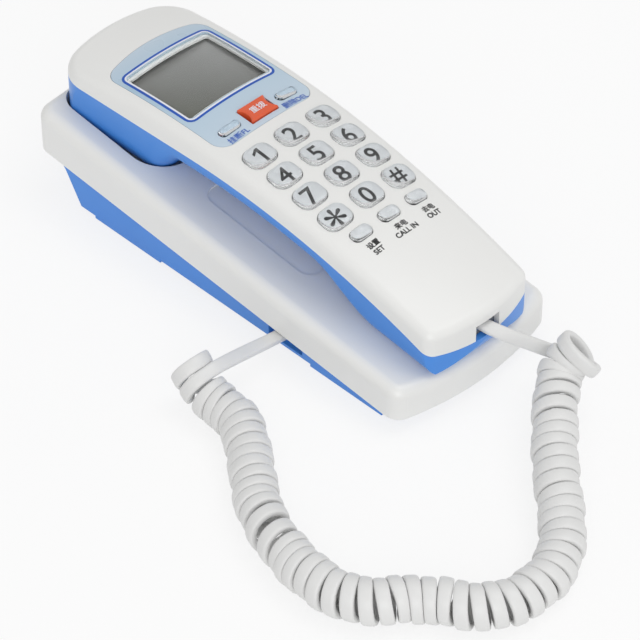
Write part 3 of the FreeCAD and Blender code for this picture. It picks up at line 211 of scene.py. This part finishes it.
def liquid_crystal():
    """The grey cell behind the window, in painted shade and reflection: darker and greener towards
    its near corner, lighter towards the far one.
    """
    paint = Paint("liquid_crystal", Coat_Weight=0.6, Coat_Roughness=0.05)
    parts = paint.add("ShaderNodeSeparateXYZ")
    paint.link(paint.place, parts.inputs["Vector"])
    across = paint.add("ShaderNodeMath", operation="ADD")
    paint.link(parts.outputs["X"], across.inputs[0])
    paint.link(parts.outputs["Y"], across.inputs[1])
    fade = paint.span(across.outputs["Value"], 0.0, 1.0, DISPLAY_SHADE_SPAN)
    # painted shade and reflection: the cell's grey darkened towards its near corner and lightened
    # towards the far one
    paint.colour(paint.ramp(fade, (0.0, linear(88, 90, 78)), (0.5, linear(122, 122, 119)),
                            (1.0, linear(150, 150, 149))))
    paint.roughness(paint.span(paint.noise(80.0, 1.0), 0.23, 0.27))
    paint.bump(paint.noise(300.0, 1.0), 0.02, 0.01 * MM)
    return paint.material


def circuit_board():
    """Green lacquer over paler tracks."""
    paint = Paint("circuit_board", Coat_Weight=0.4, Coat_Roughness=0.2)
    tracks = paint.add("ShaderNodeTexVoronoi", feature="DISTANCE_TO_EDGE", distance="CHEBYCHEV")
    tracks.inputs["Scale"].default_value = 260.0
    paint.link(paint.place, tracks.inputs["Vector"])
    paint.colour(paint.ramp(tracks.outputs["Distance"], (0.06, linear(60, 125, 70)),
                            (0.1, linear(25, 86, 46))))
    paint.roughness(paint.span(paint.noise(300.0), 0.3, 0.45))
    paint.bump(tracks.outputs["Distance"], 0.3, 0.04 * MM)
    return paint.material


WHITE = linear(238, 238, 236)
BLUE = linear(70, 143, 230)
CORD_WHITE = linear(228, 228, 227)
INK = linear(16, 16, 18)
INK_BLUE = linear(30, 88, 186)

paints = {
    "white": moulded("white_moulding", WHITE, 0.3, grain=300.0, depth=0.01 * MM, spread=0.01,
                     strength=0.01, sheen=0.04),
    "blue": moulded("blue_moulding", BLUE, 0.36, spread=0.03),
    "panel": panel_print(),
    "window": clear("clear_window", (0.97, 0.98, 0.98), 0.02, 1.1),
    "lcd": liquid_crystal(),
    "cap": clear("clear_cap", (0.97, 0.98, 0.985), 0.035, 1.38),
    "core": moulded("pale_core", linear(216, 218, 220), 0.45, spread=0.02),
    "tinted_core": moulded("tinted_core", linear(190, 208, 222), 0.45, spread=0.02),
    "redial": moulded("orange_cap", linear(232, 92, 48), 0.22, spread=0.06, Coat_Weight=0.5,
                      Coat_Roughness=0.08),
    "board": circuit_board(),
    "holder": moulded("white_frame", linear(222, 222, 219), 0.5),
    "silicone": moulded("grey_silicone", linear(205, 205, 203), 0.6),
    "rubber": moulded("black_rubber", linear(38, 38, 40), 0.75, grain=1500.0),
    "speaker": moulded("dark_speaker", linear(60, 60, 64), 0.45, grain=900.0),
    "capsule": metal("bare_can", linear(205, 206, 210), 0.3),
    "jack": moulded("dark_socket", linear(58, 60, 66), 0.5),
    "grey_jack": moulded("grey_socket", linear(168, 171, 176), 0.35),
    "contact": metal("gilt_wire", linear(226, 186, 92), 0.22),
    "steel": metal("plated_steel", linear(190, 192, 196), 0.32),
    "plug": moulded("frosted_plug", linear(196, 202, 208), 0.12, Transmission_Weight=0.45,
                    Coat_Weight=0.6),
    "cord": moulded("cord_jacket", CORD_WHITE, 0.42, grain=1700.0, depth=0.03 * MM, spread=0.02),
    "ink": moulded("black_ink", INK, 0.5, spread=0.1),
    "blue_ink": moulded("blue_ink", INK_BLUE, 0.4, spread=0.08),
    "white_ink": moulded("white_ink", linear(234, 235, 242), 0.5, spread=0.02),
}

NODE_PAINT = {
    "white": ["handset_top_shell", "base_top_shell", "hook_plunger"],
    "blue": ["handset_bottom_shell", "base_bottom_shell"],
    "panel": ["display_panel"],
    "window": ["display_window"],
    "lcd": ["lcd_glass"],
    "redial": ["key_redial"],
    "board": ["display_board", "keypad_board", "base_board"],
    "holder": ["lcd_holder", "hook_switch"],
    "silicone": ["keypad_mat", "lcd_connector_strips", "earpiece_gasket"],
    "rubber": ["rubber_feet", "microphone_boot"],
    "speaker": ["earpiece_speaker", "ringer"],
    "capsule": ["microphone"],
    "jack": ["base_cord_jack", "line_jack"],
    "grey_jack": ["handset_jack"],
    "contact": ["handset_jack_contacts", "base_cord_jack_contacts", "line_jack_contacts"],
    "steel": ["handset_screws", "base_screws", "hook_spring"],
    "plug": ["handset_plug", "base_plug"],
}


def paint_nodes():
    for paint, names in NODE_PAINT.items():
        for name in names:
            data = nodes[name].data
            data.materials.clear()
            data.materials.append(paints[paint])


# Meshes
def mesh_piece(name, points, faces, paint, smooth=True):
    data = bpy.data.meshes.new(name)
    data.from_pydata(points, [], faces)
    data.materials.append(paints[paint])
    data.validate()
    if smooth:
        data.shade_smooth()
    piece = bpy.data.objects.new(name, data)
    scene.collection.objects.link(piece)
    return piece


def loft_faces(rings, count):
    """Faces of a skin over rings that have as many points each, with flat ends."""
    faces = []
    for ring in range(rings - 1):
        low, high = ring * count, (ring + 1) * count
        for step in range(count):
            after = (step + 1) % count
            faces.append((low + step, low + after, high + after, high + step))
    faces.append(tuple(reversed(range(count))))
    faces.append(tuple(range((rings - 1) * count, rings * count)))
    return faces


def eased(share):
    """A share held between 0 and 1 that leaves and arrives gently."""
    share = min(max(share, 0.0), 1.0)
    return share * share * (3 - 2 * share)


# The curly cord: the source's route and winding, both ends moved to follow the photograph.
# The route is in millimetres, and what is counted along the winding is in turns or pitches.
CURL_ROUTE = [
    (-66.3, -23.0, 14.8), (-68.0, -31.5, 8.6), (-67.0, -40.0, 7.5), (-69.0, -50.0, 7.5),
    (-79.0, -63.5, 7.5), (-91.5, -79.5, 7.5), (-97.5, -100.0, 7.5), (-98.5, -116.0, 7.5),
    (-93.0, -128.0, 7.5), (-80.5, -136.5, 7.5), (-73.0, -151.5, 7.5), (-58.5, -158.0, 7.5),
    (-42.5, -155.0, 7.5), (-30.5, -145.0, 8.0), (-19.0, -131.0, 11.5), (-6.0, -119.0, 14.5),
    (4.0, -110.5, 16.5), (10.5, -107.5, 20.5), (14.3, -111.2, 27.0),
]
CURL_TURNS = 55 + 250 / 360
CURL_RADIUS = 5.8 * MM
# Pitches left free at the route's two ends
FIRST_RUN, LAST_RUN = 0.6, 0.25
# Pitches that the ends are drawn back or set apart, the turn from which, and the turns it takes
BASE_OVERLAP, BASE_HELD = 2.05, 0.33
BASE_GAP, BASE_GAP_FROM = 1.2, 1.3
HANDSET_OVERLAP = 2.0
SHIFT_TURNS = 0.5
# How far the handset's lead rises out of the winding, and over how many turns it stays risen
LEAD_RISE, LEAD_RISE_HELD = 3.4 * MM, 0.1
# Loose places, each a turn and its looseness in pitches, and the loops' slight wander
LOOSE_TURNS, LOOSE_SPREAD = ((15.5, 0.6), (50.5, 0.3)), 2
WANDER, WANDER_ENDS = 0.4 * MM, 2
SIDE_WAVE, RISE_WAVE = 2.1, 1.3
# The strip's section, and how its width gives way to the loops beside it
CORD_WIDTH, CORD_THICKNESS = 4.4 * MM, 2.5 * MM
SECTION_POINTS, SECTION_POWER = 20, 0.55
CROWDED_FROM, FULL_WIDTH_TURNS, ROOM_SHARE = 0.6, 0.7, 0.97
# The leads: where they leave the phone, and how far they run straight at each end
BASE_EXIT = Vector((-27.9, -28.5, 7.4)) * MM
HANDSET_EXIT = Vector((0.0, -82.7, 27.05)) * MM
SOLID_DIAMETER = 2.8 * MM
LEAD_RUN = 3.325 * MM
# Steps of the winding and the splines, and the winding's last steps that the lead cuts short
STEPS_PER_TURN, SPLINE_STEPS = 40, 24
LEAD_STEPS = 3


def spline_points(name, controls):
    """Points of the smooth line that a route's points pull."""
    curve = bpy.data.curves.new(name, "CURVE")
    curve.dimensions = "3D"
    line = curve.splines.new("NURBS")
    line.points.add(len(controls) - 1)
    for point, control in zip(line.points, controls):
        point.co = (*control, 1.0)
    line.order_u = 3
    line.use_endpoint_u = True
    line.resolution_u = SPLINE_STEPS
    holder = bpy.data.objects.new(name, curve)
    data = bpy.data.meshes.new_from_object(holder)
    points = [vertex.co.copy() for vertex in data.vertices]
    bpy.data.objects.remove(holder)
    bpy.data.curves.remove(curve)
    bpy.data.meshes.remove(data)
    return points


class MiddleLine:
    """The curls' middle line by the distance along it."""

    def __init__(self, points):
        self.points = points
        self.runs = [0.0]
        for before, after in zip(points, points[1:]):
            self.runs.append(self.runs[-1] + (after - before).length)
        self.length = self.runs[-1]
        ways = [(after - before).normalized() for before, after in zip(points, points[1:])]
        self.ways = [ways[0]] + [(a + b).normalized() for a, b in zip(ways, ways[1:])] + [ways[-1]]

    def at(self, run):
        run = min(max(run, 0.0), self.length)
        low, high = 0, len(self.runs) - 1
        while high - low > 1:
            half = (low + high) // 2
            if self.runs[half] <= run:
                low = half
            else:
                high = half
        share = (run - self.runs[low]) / (self.runs[high] - self.runs[low])
        point = self.points[low].lerp(self.points[high], share)
        return point, self.ways[low].lerp(self.ways[high], share).normalized()


class Helix:
    """The right-handed winding round the middle line, each end led out over its last turns."""

    def __init__(self, middle):
        self.middle = middle
        self.pitch = middle.length / (CURL_TURNS - FIRST_RUN - LAST_RUN + BASE_GAP)

    def pitches(self, turn):
        """How many pitches a turn has come along the middle line, drawn back at both ends."""
        run = turn - FIRST_RUN + BASE_GAP * eased((turn - BASE_GAP_FROM) / SHIFT_TURNS)
        run += BASE_OVERLAP * (1 - eased((turn - BASE_HELD) / SHIFT_TURNS))
        run -= HANDSET_OVERLAP * (1 - eased((CURL_TURNS - turn) / SHIFT_TURNS))
        for middle, looseness in LOOSE_TURNS:
            share = (turn - middle) / LOOSE_SPREAD
            run += LOOSE_SPREAD * looseness * share * math.exp(-share * share)
        return run

    def at(self, turn):
        """The cord's middle at a turn, and the way of the curls' middle line there."""
        spot, way = self.middle.at(self.pitch * self.pitches(turn))
        side = way.cross(Vector((0, 0, 1))).normalized()
        up = side.cross(way)
        angle = 2 * math.pi * turn
        left = CURL_TURNS - turn
        wander = WANDER * eased((turn - WANDER_ENDS) / WANDER_ENDS)
        wander *= eased((left - WANDER_ENDS) / WANDER_ENDS)
        spot = spot + side * wander * math.sin(SIDE_WAVE * turn)
        spot = spot + up * wander / 2 * (1 + math.sin(RISE_WAVE * turn))
        reach = CURL_RADIUS + LEAD_RISE * (1 - eased((left - LEAD_RISE_HELD) / SHIFT_TURNS))
        return spot + (up * math.cos(angle) + side * math.sin(angle)) * reach, way


def strip_section():
    """The cord's flat section with round edges, in shares of half its width and thickness."""
    def squared(share):
        return math.copysign(abs(share) ** SECTION_POWER, share)
    angles = [2 * math.pi * step / SECTION_POINTS for step in range(SECTION_POINTS)]
    return [(squared(math.cos(angle)), squared(math.sin(angle))) for angle in angles]


def make_cord():
    """The whole cord as one strip: the base's lead, the curls and the handset's lead."""
    middle = MiddleLine(spline_points("curl_middle", [Vector(spot) * MM for spot in CURL_ROUTE]))
    helix = Helix(middle)
    steps = int(CURL_TURNS * STEPS_PER_TURN)
    turns = [CURL_TURNS * step / steps for step in range(steps + 1 - LEAD_STEPS)]
    wound = [helix.at(turn) for turn in turns]
    start_way = (wound[1][0] - wound[0][0]).normalized()
    end_way = (wound[-1][0] - wound[-2][0]).normalized()
    first = wound[0][0] - start_way * SOLID_DIAMETER
    last = wound[-1][0] + end_way * SOLID_DIAMETER
    base_lead = spline_points("base_lead", [
        BASE_EXIT, BASE_EXIT - Vector((LEAD_RUN, 0, 0)), first - start_way * LEAD_RUN, first])
    handset_lead = spline_points("handset_lead", [
        HANDSET_EXIT, HANDSET_EXIT - Vector((0, LEAD_RUN, 0)), last + end_way * LEAD_RUN, last])
    handset_lead.reverse()

    path, flats, widths = [], [], []
    first_flat, last_flat = wound[0][1], wound[-1][1]
    base_flat, handset_flat = Vector((0, 1, 0)), Vector((1, 0, 0))
    base_flat *= math.copysign(1, base_flat.dot(first_flat))
    handset_flat *= math.copysign(1, handset_flat.dot(last_flat))
    for index, point in enumerate(base_lead):
        path.append(point)
        flats.append(base_flat.lerp(first_flat, eased(index / len(base_lead))))
        widths.append(CORD_WIDTH)
    for turn, (point, way) in zip(turns, wound):
        beside = [helix.at(other)[0] for other in (turn - 1, turn + 1)
                  if CROWDED_FROM < other < CURL_TURNS - CROWDED_FROM]
        room = min([(point - other).length for other in beside], default=CORD_WIDTH)
        path.append(point)
        flats.append(way)
        leading_out = turn > CURL_TURNS - FULL_WIDTH_TURNS
        widths.append(CORD_WIDTH if leading_out else min(CORD_WIDTH, ROOM_SHARE * room))
    for index, point in enumerate(handset_lead):
        path.append(point)
        share = (index + 1) / len(handset_lead)
        flats.append(last_flat.lerp(handset_flat, eased(share * 2 - 1)))
        widths.append(CORD_WIDTH)

    section = strip_section()
    points = []
    for index, point in enumerate(path):
        before, after = path[max(index - 1, 0)], path[min(index + 1, len(path) - 1)]
        way = (after - before).normalized()
        flat = flats[index]
        flat = (flat - way * flat.dot(way)).normalized()
        normal = way.cross(flat)
        for across, through in section:
            points.append(point + flat * across * widths[index] / 2
                          + normal * through * CORD_THICKNESS / 2)
    cord = mesh_piece("curly_cord", points, loft_faces(len(path), len(section)), "cord")
    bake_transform(cord)
    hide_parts("cord_lead_base", "cord_curls", "cord_lead_handset")


# The handset's face, as in the source
FRONT = -85.5 * MM
FACE_APEX = FRONT + 116.0 * MM
FACE_HEIGHT, FACE_RADIUS, CROWN_RADIUS = 55.0 * MM, 335.0 * MM, 125.0 * MM
LEAST_CORNER = 0.15 * MM
PRINT_LIFT = 0.03 * MM
BAND_PIECES = 12


def face_frame(x, y):
    """The frame that stands on the face, its Z axis along the face's normal."""
    reach = FACE_RADIUS - CROWN_RADIUS + math.sqrt(CROWN_RADIUS ** 2 - x ** 2)
    height = FACE_HEIGHT - FACE_RADIUS + math.sqrt(reach ** 2 - (y - FACE_APEX) ** 2)
    tilt = Matrix.Rotation(-math.asin((y - FACE_APEX) / reach), 4, "X")
    lean = Matrix.Rotation(math.asin(x / CROWN_RADIUS), 4, "Y")
    return Matrix.Translation((x, y, height)) @ tilt @ lean


def on_face(x, y, lift):
    return face_frame(x, y) @ Vector((0, 0, lift))


def rounded_outline(length, width, corner, inset, steps=8):
    """Points round a rectangle with round corners, drawn in by an inset."""
    half_x, half_y = length / 2 - inset, width / 2 - inset
    radius = max(corner - inset, LEAST_CORNER)
    points = []
    for quarter, (side_x, side_y) in enumerate(((1, 1), (-1, 1), (-1, -1), (1, -1))):
        for step in range(steps + 1):
            angle = (quarter + step / steps) * math.pi / 2
            points.append((side_x * (half_x - radius) + radius * math.cos(angle),
                           side_y * (half_y - radius) + radius * math.sin(angle)))
    return points


def turned_stack(name, length, width, corner, profile, place, paint):
    """A skin over outlines that a profile in millimetres draws in and raises, set on the face."""
    points = []
    for inset, height in profile:
        for x, y in rounded_outline(length, width, corner, inset * MM):
            points.append(place @ Vector((x, y, height * MM)))
    count = len(points) // len(profile)
    return mesh_piece(name, points, loft_faces(len(profile), count), paint)


# Lettering: heights and the figure one in shares of the font's size, and the ink's thickness
CAPITAL_HEIGHT = 0.72
ONE_HEIGHT, ONE_SHIFT = 0.69, 0.045
FLAGGED_ONE = [(0.0, 0.0), (0.12, 0.0), (0.12, 0.69), (0.015, 0.69), (-0.19, 0.555), (-0.19, 0.44),
               (0.0, 0.56)]
FLAGGED_ONE_FACES = [(0, 1, 2, 3, 6), (3, 4, 5, 6)]
HALF_INK, COPY_STEP = 0.015 * MM, 0.001 * MM
BOLD_COPIES = [(0, 0), (1, 1), (-1, 1), (-1, -1), (1, -1)]


def flagged_one(height):
    """The figure one with its flag, which the font leaves out."""
    scale = height / ONE_HEIGHT
    points = [Vector(((x + ONE_SHIFT) * scale, y * scale - height / 2, 0.0))
              for x, y in FLAGGED_ONE]
    return points, FLAGGED_ONE_FACES


def lettering(name, words, height, bold):
    """Flat words as points round their own middle and faces, made bold by close copies."""
    if words == "1":
        return flagged_one(height)
    scale = height / CAPITAL_HEIGHT
    curve = bpy.data.curves.new(name, "FONT")
    curve.body, curve.size = words, 1.0
    curve.align_x, curve.align_y = "CENTER", "CENTER"
    curve.resolution_u = 6
    curve.extrude = HALF_INK / scale
    holder = bpy.data.objects.new(name, curve)
    data = bpy.data.meshes.new_from_object(holder)
    points = [vertex.co * scale for vertex in data.vertices]
    faces = [tuple(face.vertices) for face in data.polygons]
    middle = [(min(p[axis] for p in points) + max(p[axis] for p in points)) / 2 for axis in (0, 1)]
    points = [Vector((p.x - middle[0], p.y - middle[1], p.z)) for p in points]
    stack = [Vector((bold * x, bold * y, COPY_STEP * step))
             for step, (x, y) in enumerate(BOLD_COPIES)]
    faces = [tuple(step * len(points) + corner for corner in face)
             for step in range(len(stack)) for face in faces]
    points = [p + shift for shift in stack for p in points]
    bpy.data.objects.remove(holder)
    bpy.data.curves.remove(curve)
    bpy.data.meshes.remove(data)
    return points, faces


def face_words(name, words, height, x, y, paint, bold):
    """Words printed on the face, following its curve."""
    points, faces = lettering(name, words, height, bold)
    draped = [on_face(x + p.x, y + p.y, PRINT_LIFT + p.z) for p in points]
    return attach(mesh_piece(name, draped, faces, paint, smooth=False), "handset")


def along(outline, pieces):
    """An outline with each of its sides split into as many pieces."""
    points = []
    for (x, y), (next_x, next_y) in zip(outline, outline[1:] + outline[:1]):
        for piece in range(pieces):
            share = piece / pieces
            points.append((x + (next_x - x) * share, y + (next_y - y) * share))
    return points


def face_band(name, outer, inner, middle, paint):
    """A printed line between two outlines on the face."""
    points = []
    for outline in (outer, inner):
        points += [on_face(x, middle + y, PRINT_LIFT) for x, y in along(outline, BAND_PIECES)]
    count = len(points) // 2
    faces = []
    for step in range(count):
        after = (step + 1) % count
        faces.append((step, after, count + after, count + step))
    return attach(mesh_piece(name, points, faces, paint, smooth=False), "handset")


# Keys: profiles of insets and heights, sizes (length, width, corner) and places on the face, whose
# rows are counted from the handset's front end. Numbers without MM are millimetres.
KEY_CORE = [(-0.7, -3.1), (-0.7, -2.3), (0.0, -2.3), (0.0, -0.62), (0.1, -0.55)]
CAP = [(0.12, -0.5), (0.0, -0.42), (0.0, 0.3), (0.1, 0.55), (0.32, 0.78), (0.7, 0.95), (1.4, 1.05),
       (2.6, 1.1)]
PILL_CAP = [(0.1, -0.5), (0.0, -0.42), (0.0, 0.35), (0.08, 0.6), (0.28, 0.85), (0.65, 1.02),
            (1.2, 1.1)]
NUMBER_KEY, LOWER_PILL, PANEL_PILL = (10.4, 8.7, 3.4), (7.6, 4.4, 1.98), (8.0, 3.2, 1.44)
COLUMNS, NUMBER_COLUMN = 3, 13.8
NUMBER_ROW, FIRST_ROW = 11.0, 84.8
LOWER_COLUMN, LOWER_ROW = 12.0, 42.5
PANEL_COLUMN, PANEL_ROW = 12.3, 100.0
FIGURE_HEIGHT, STAR_HEIGHT, FIGURE_BOLD = 6.5 * MM, 11.0 * MM, 0.1 * MM
FIGURE_DEPTH = 0.525 * MM
FIGURES = "123456789*0#"
FIGURE_NAMES = {"*": "star", "#": "hash"}


def make_key(name, size, x, y, profile, words=None, paint="core"):
    """A clear cap over a pale key, with its figure printed between them."""
    body = f"{name}_body"
    place = face_frame(x * MM, FRONT + y * MM)
    length, width, corner = (side * MM for side in size)
    core = turned_stack(f"{name}_core", length, width, corner, KEY_CORE, place, paint)
    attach(core, body)
    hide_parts(name)
    cap = turned_stack(f"{name}_cap", length, width, corner, profile, place, "cap")
    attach(cap, body)
    if words:
        height = STAR_HEIGHT if words == "*" else FIGURE_HEIGHT
        points, faces = lettering(f"{name}_figure", words, height, FIGURE_BOLD)
        sunk = place @ Matrix.Translation((0, 0, -FIGURE_DEPTH))
        figure = mesh_piece(f"{name}_figure", [sunk @ p for p in points], faces, "ink",
                            smooth=False)
        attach(figure, body)


def make_keys():
    for index, figure in enumerate(FIGURES):
        row, column = divmod(index, COLUMNS)
        name = FIGURE_NAMES.get(figure, figure)
        make_key(f"key_{name}", NUMBER_KEY, (column - 1) * NUMBER_COLUMN,
                 FIRST_ROW - row * NUMBER_ROW, CAP, figure)
    for side, name in ((-1, "set"), (0, "incoming"), (1, "outgoing")):
        make_key(f"key_{name}", LOWER_PILL, side * LOWER_COLUMN, LOWER_ROW, PILL_CAP)
    for side, name in ((-1, "flash"), (1, "delete")):
        make_key(f"key_{name}", PANEL_PILL, side * PANEL_COLUMN, PANEL_ROW, PILL_CAP,
                 paint="tinted_core")


# Print on the face, its lines counted as the rows of keys are
LOWER_CAPTIONS = (("\u8bbe\u7f6e", "SET"), ("\u6765\u7535", "CALL IN"), ("\u53bb\u7535", "OUT"))
UPPER_LINE, UPPER_HEIGHT = 37.4, 1.7 * MM
LOWER_LINE, LOWER_HEIGHT = 34.7, 1.8 * MM
LOWER_BOLD = 0.06 * MM
PANEL_CAPTIONS = ((-1, "flash", "\u6302\u65adFL"), (1, "delete", "\u5220\u9664DEL"))
PANEL_LINE, PANEL_HEIGHT, PANEL_BOLD = 95.8, 2.0 * MM, 0.04 * MM
REDIAL_WORDS = "\u91cd\u62e8"
REDIAL_HEIGHT, REDIAL_BOLD, REDIAL_LIFT = 2.2 * MM, 0.03 * MM, 1.13 * MM
WINDOW_MIDDLE = FRONT + (113.1 + 28.1 / 2) * MM
WINDOW_RIM = (38.2 * MM, 34.0 * MM, 3.0 * MM)
RIM_INSETS = (0.0, 0.9, 1.5)


def make_print():
    for index, (upper, lower) in enumerate(LOWER_CAPTIONS):
        x = (index - 1) * LOWER_COLUMN * MM
        face_words(f"caption_upper_{index}", upper, UPPER_HEIGHT, x, FRONT + UPPER_LINE * MM, "ink",
                   LOWER_BOLD)
        face_words(f"caption_lower_{index}", lower, LOWER_HEIGHT, x, FRONT + LOWER_LINE * MM, "ink",
                   LOWER_BOLD)
    for side, name, words in PANEL_CAPTIONS:
        face_words(f"caption_{name}", words, PANEL_HEIGHT, side * PANEL_COLUMN * MM,
                   FRONT + PANEL_LINE * MM, "blue_ink", PANEL_BOLD)
    points, faces = lettering("redial_words", REDIAL_WORDS, REDIAL_HEIGHT, REDIAL_BOLD)
    place = face_frame(0.0, FRONT + PANEL_ROW * MM) @ Matrix.Translation((0, 0, REDIAL_LIFT))
    words = mesh_piece("redial_words", [place @ p for p in points], faces, "white_ink",
                       smooth=False)
    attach(words, "key_redial_body")
    rims = [rounded_outline(*WINDOW_RIM, inset * MM, steps=4) for inset in RIM_INSETS]
    face_band("window_line", rims[0], rims[1], WINDOW_MIDDLE, "blue_ink")
    face_band("window_border", rims[1], rims[2], WINDOW_MIDDLE, "white_ink")


# Stage
FLOOR_REACH = 6.0
FLOOR_COLOUR, FLOOR_ROUGHNESS = (0.93, 0.93, 0.93, 1), 0.9
FLOOR_GLOW = 0.8
PLAIN_WHITE = (1, 1, 1, 1)
WORLD_STRENGTH = 0.6
# Each lamp's name, place, width in metres and power in watts; both shine at the part's origin
LAMPS = (("key_lamp", (0.35, -0.35, 1.4), 0.9, 4.5), ("fill_lamp", (-1.0, -1.15, 0.8), 1.0, 7.5))


def make_stage():
    """A pale floor that keeps the shadow and looks white behind it."""
    data = bpy.data.meshes.new("floor")
    corners = [(x * FLOOR_REACH, y * FLOOR_REACH, 0)
               for x, y in ((-1, -1), (1, -1), (1, 1), (-1, 1))]
    data.from_pydata(corners, [], [(0, 1, 2, 3)])
    floor = bpy.data.objects.new("floor", data)
    scene.collection.objects.link(floor)
    material = bpy.data.materials.new("pale_floor")
    material.use_nodes = True
    tree = material.node_tree
    shader = tree.nodes["Principled BSDF"]
    shader.inputs["Base Color"].default_value = FLOOR_COLOUR
    shader.inputs["Roughness"].default_value = FLOOR_ROUGHNESS
    glow = tree.nodes.new("ShaderNodeEmission")
    glow.inputs["Color"].default_value = PLAIN_WHITE
    mix = tree.nodes.new("ShaderNodeMixShader")
    path = tree.nodes.new("ShaderNodeLightPath")
    seen = tree.nodes.new("ShaderNodeMath")
    seen.operation = "MULTIPLY"
    seen.inputs[1].default_value = FLOOR_GLOW
    tree.links.new(straight_rays(tree, path), seen.inputs[0])
    tree.links.new(seen.outputs["Value"], mix.inputs["Fac"])
    tree.links.new(shader.outputs["BSDF"], mix.inputs[1])
    tree.links.new(glow.outputs["Emission"], mix.inputs[2])
    tree.links.new(mix.outputs["Shader"], tree.nodes["Material Output"].inputs["Surface"])
    data.materials.append(material)


def straight_rays(tree, path):
    """One for what the camera, gloss or clear plastic sees."""
    total = path.outputs["Is Camera Ray"]
    for word in ("Is Glossy Ray", "Is Transmission Ray"):
        either = tree.nodes.new("ShaderNodeMath")
        either.operation = "MAXIMUM"
        tree.links.new(total, either.inputs[0])
        tree.links.new(path.outputs[word], either.inputs[1])
        total = either.outputs["Value"]
    return total


def make_world():
    """Soft light from all round, which the camera sees as plain white."""
    world = bpy.data.worlds.new("studio")
    scene.world = world
    world.use_nodes = True
    tree = world.node_tree
    soft = tree.nodes["Background"]
    soft.inputs["Color"].default_value = PLAIN_WHITE
    soft.inputs["Strength"].default_value = WORLD_STRENGTH
    white = tree.nodes.new("ShaderNodeBackground")
    white.inputs["Color"].default_value = PLAIN_WHITE
    mix = tree.nodes.new("ShaderNodeMixShader")
    path = tree.nodes.new("ShaderNodeLightPath")
    tree.links.new(path.outputs["Is Camera Ray"], mix.inputs["Fac"])
    tree.links.new(soft.outputs["Background"], mix.inputs[1])
    tree.links.new(white.outputs["Background"], mix.inputs[2])
    tree.links.new(mix.outputs["Shader"], tree.nodes["World Output"].inputs["Surface"])


def make_lamp(name, spot, across, watts):
    data = bpy.data.lights.new(name, "AREA")
    data.shape, data.size, data.energy = "SQUARE", across, watts
    lamp = bpy.data.objects.new(name, data)
    lamp.location = spot
    lamp.rotation_mode = "QUATERNION"
    lamp.rotation_quaternion = (-Vector(spot)).to_track_quat("-Z", "Y")
    scene.collection.objects.link(lamp)


make_camera()
make_stage()
make_world()
for lamp_values in LAMPS:
    make_lamp(*lamp_values)
make_cord()
paint_nodes()
make_keys()
make_print()
scene.view_settings.view_transform = "Standard"
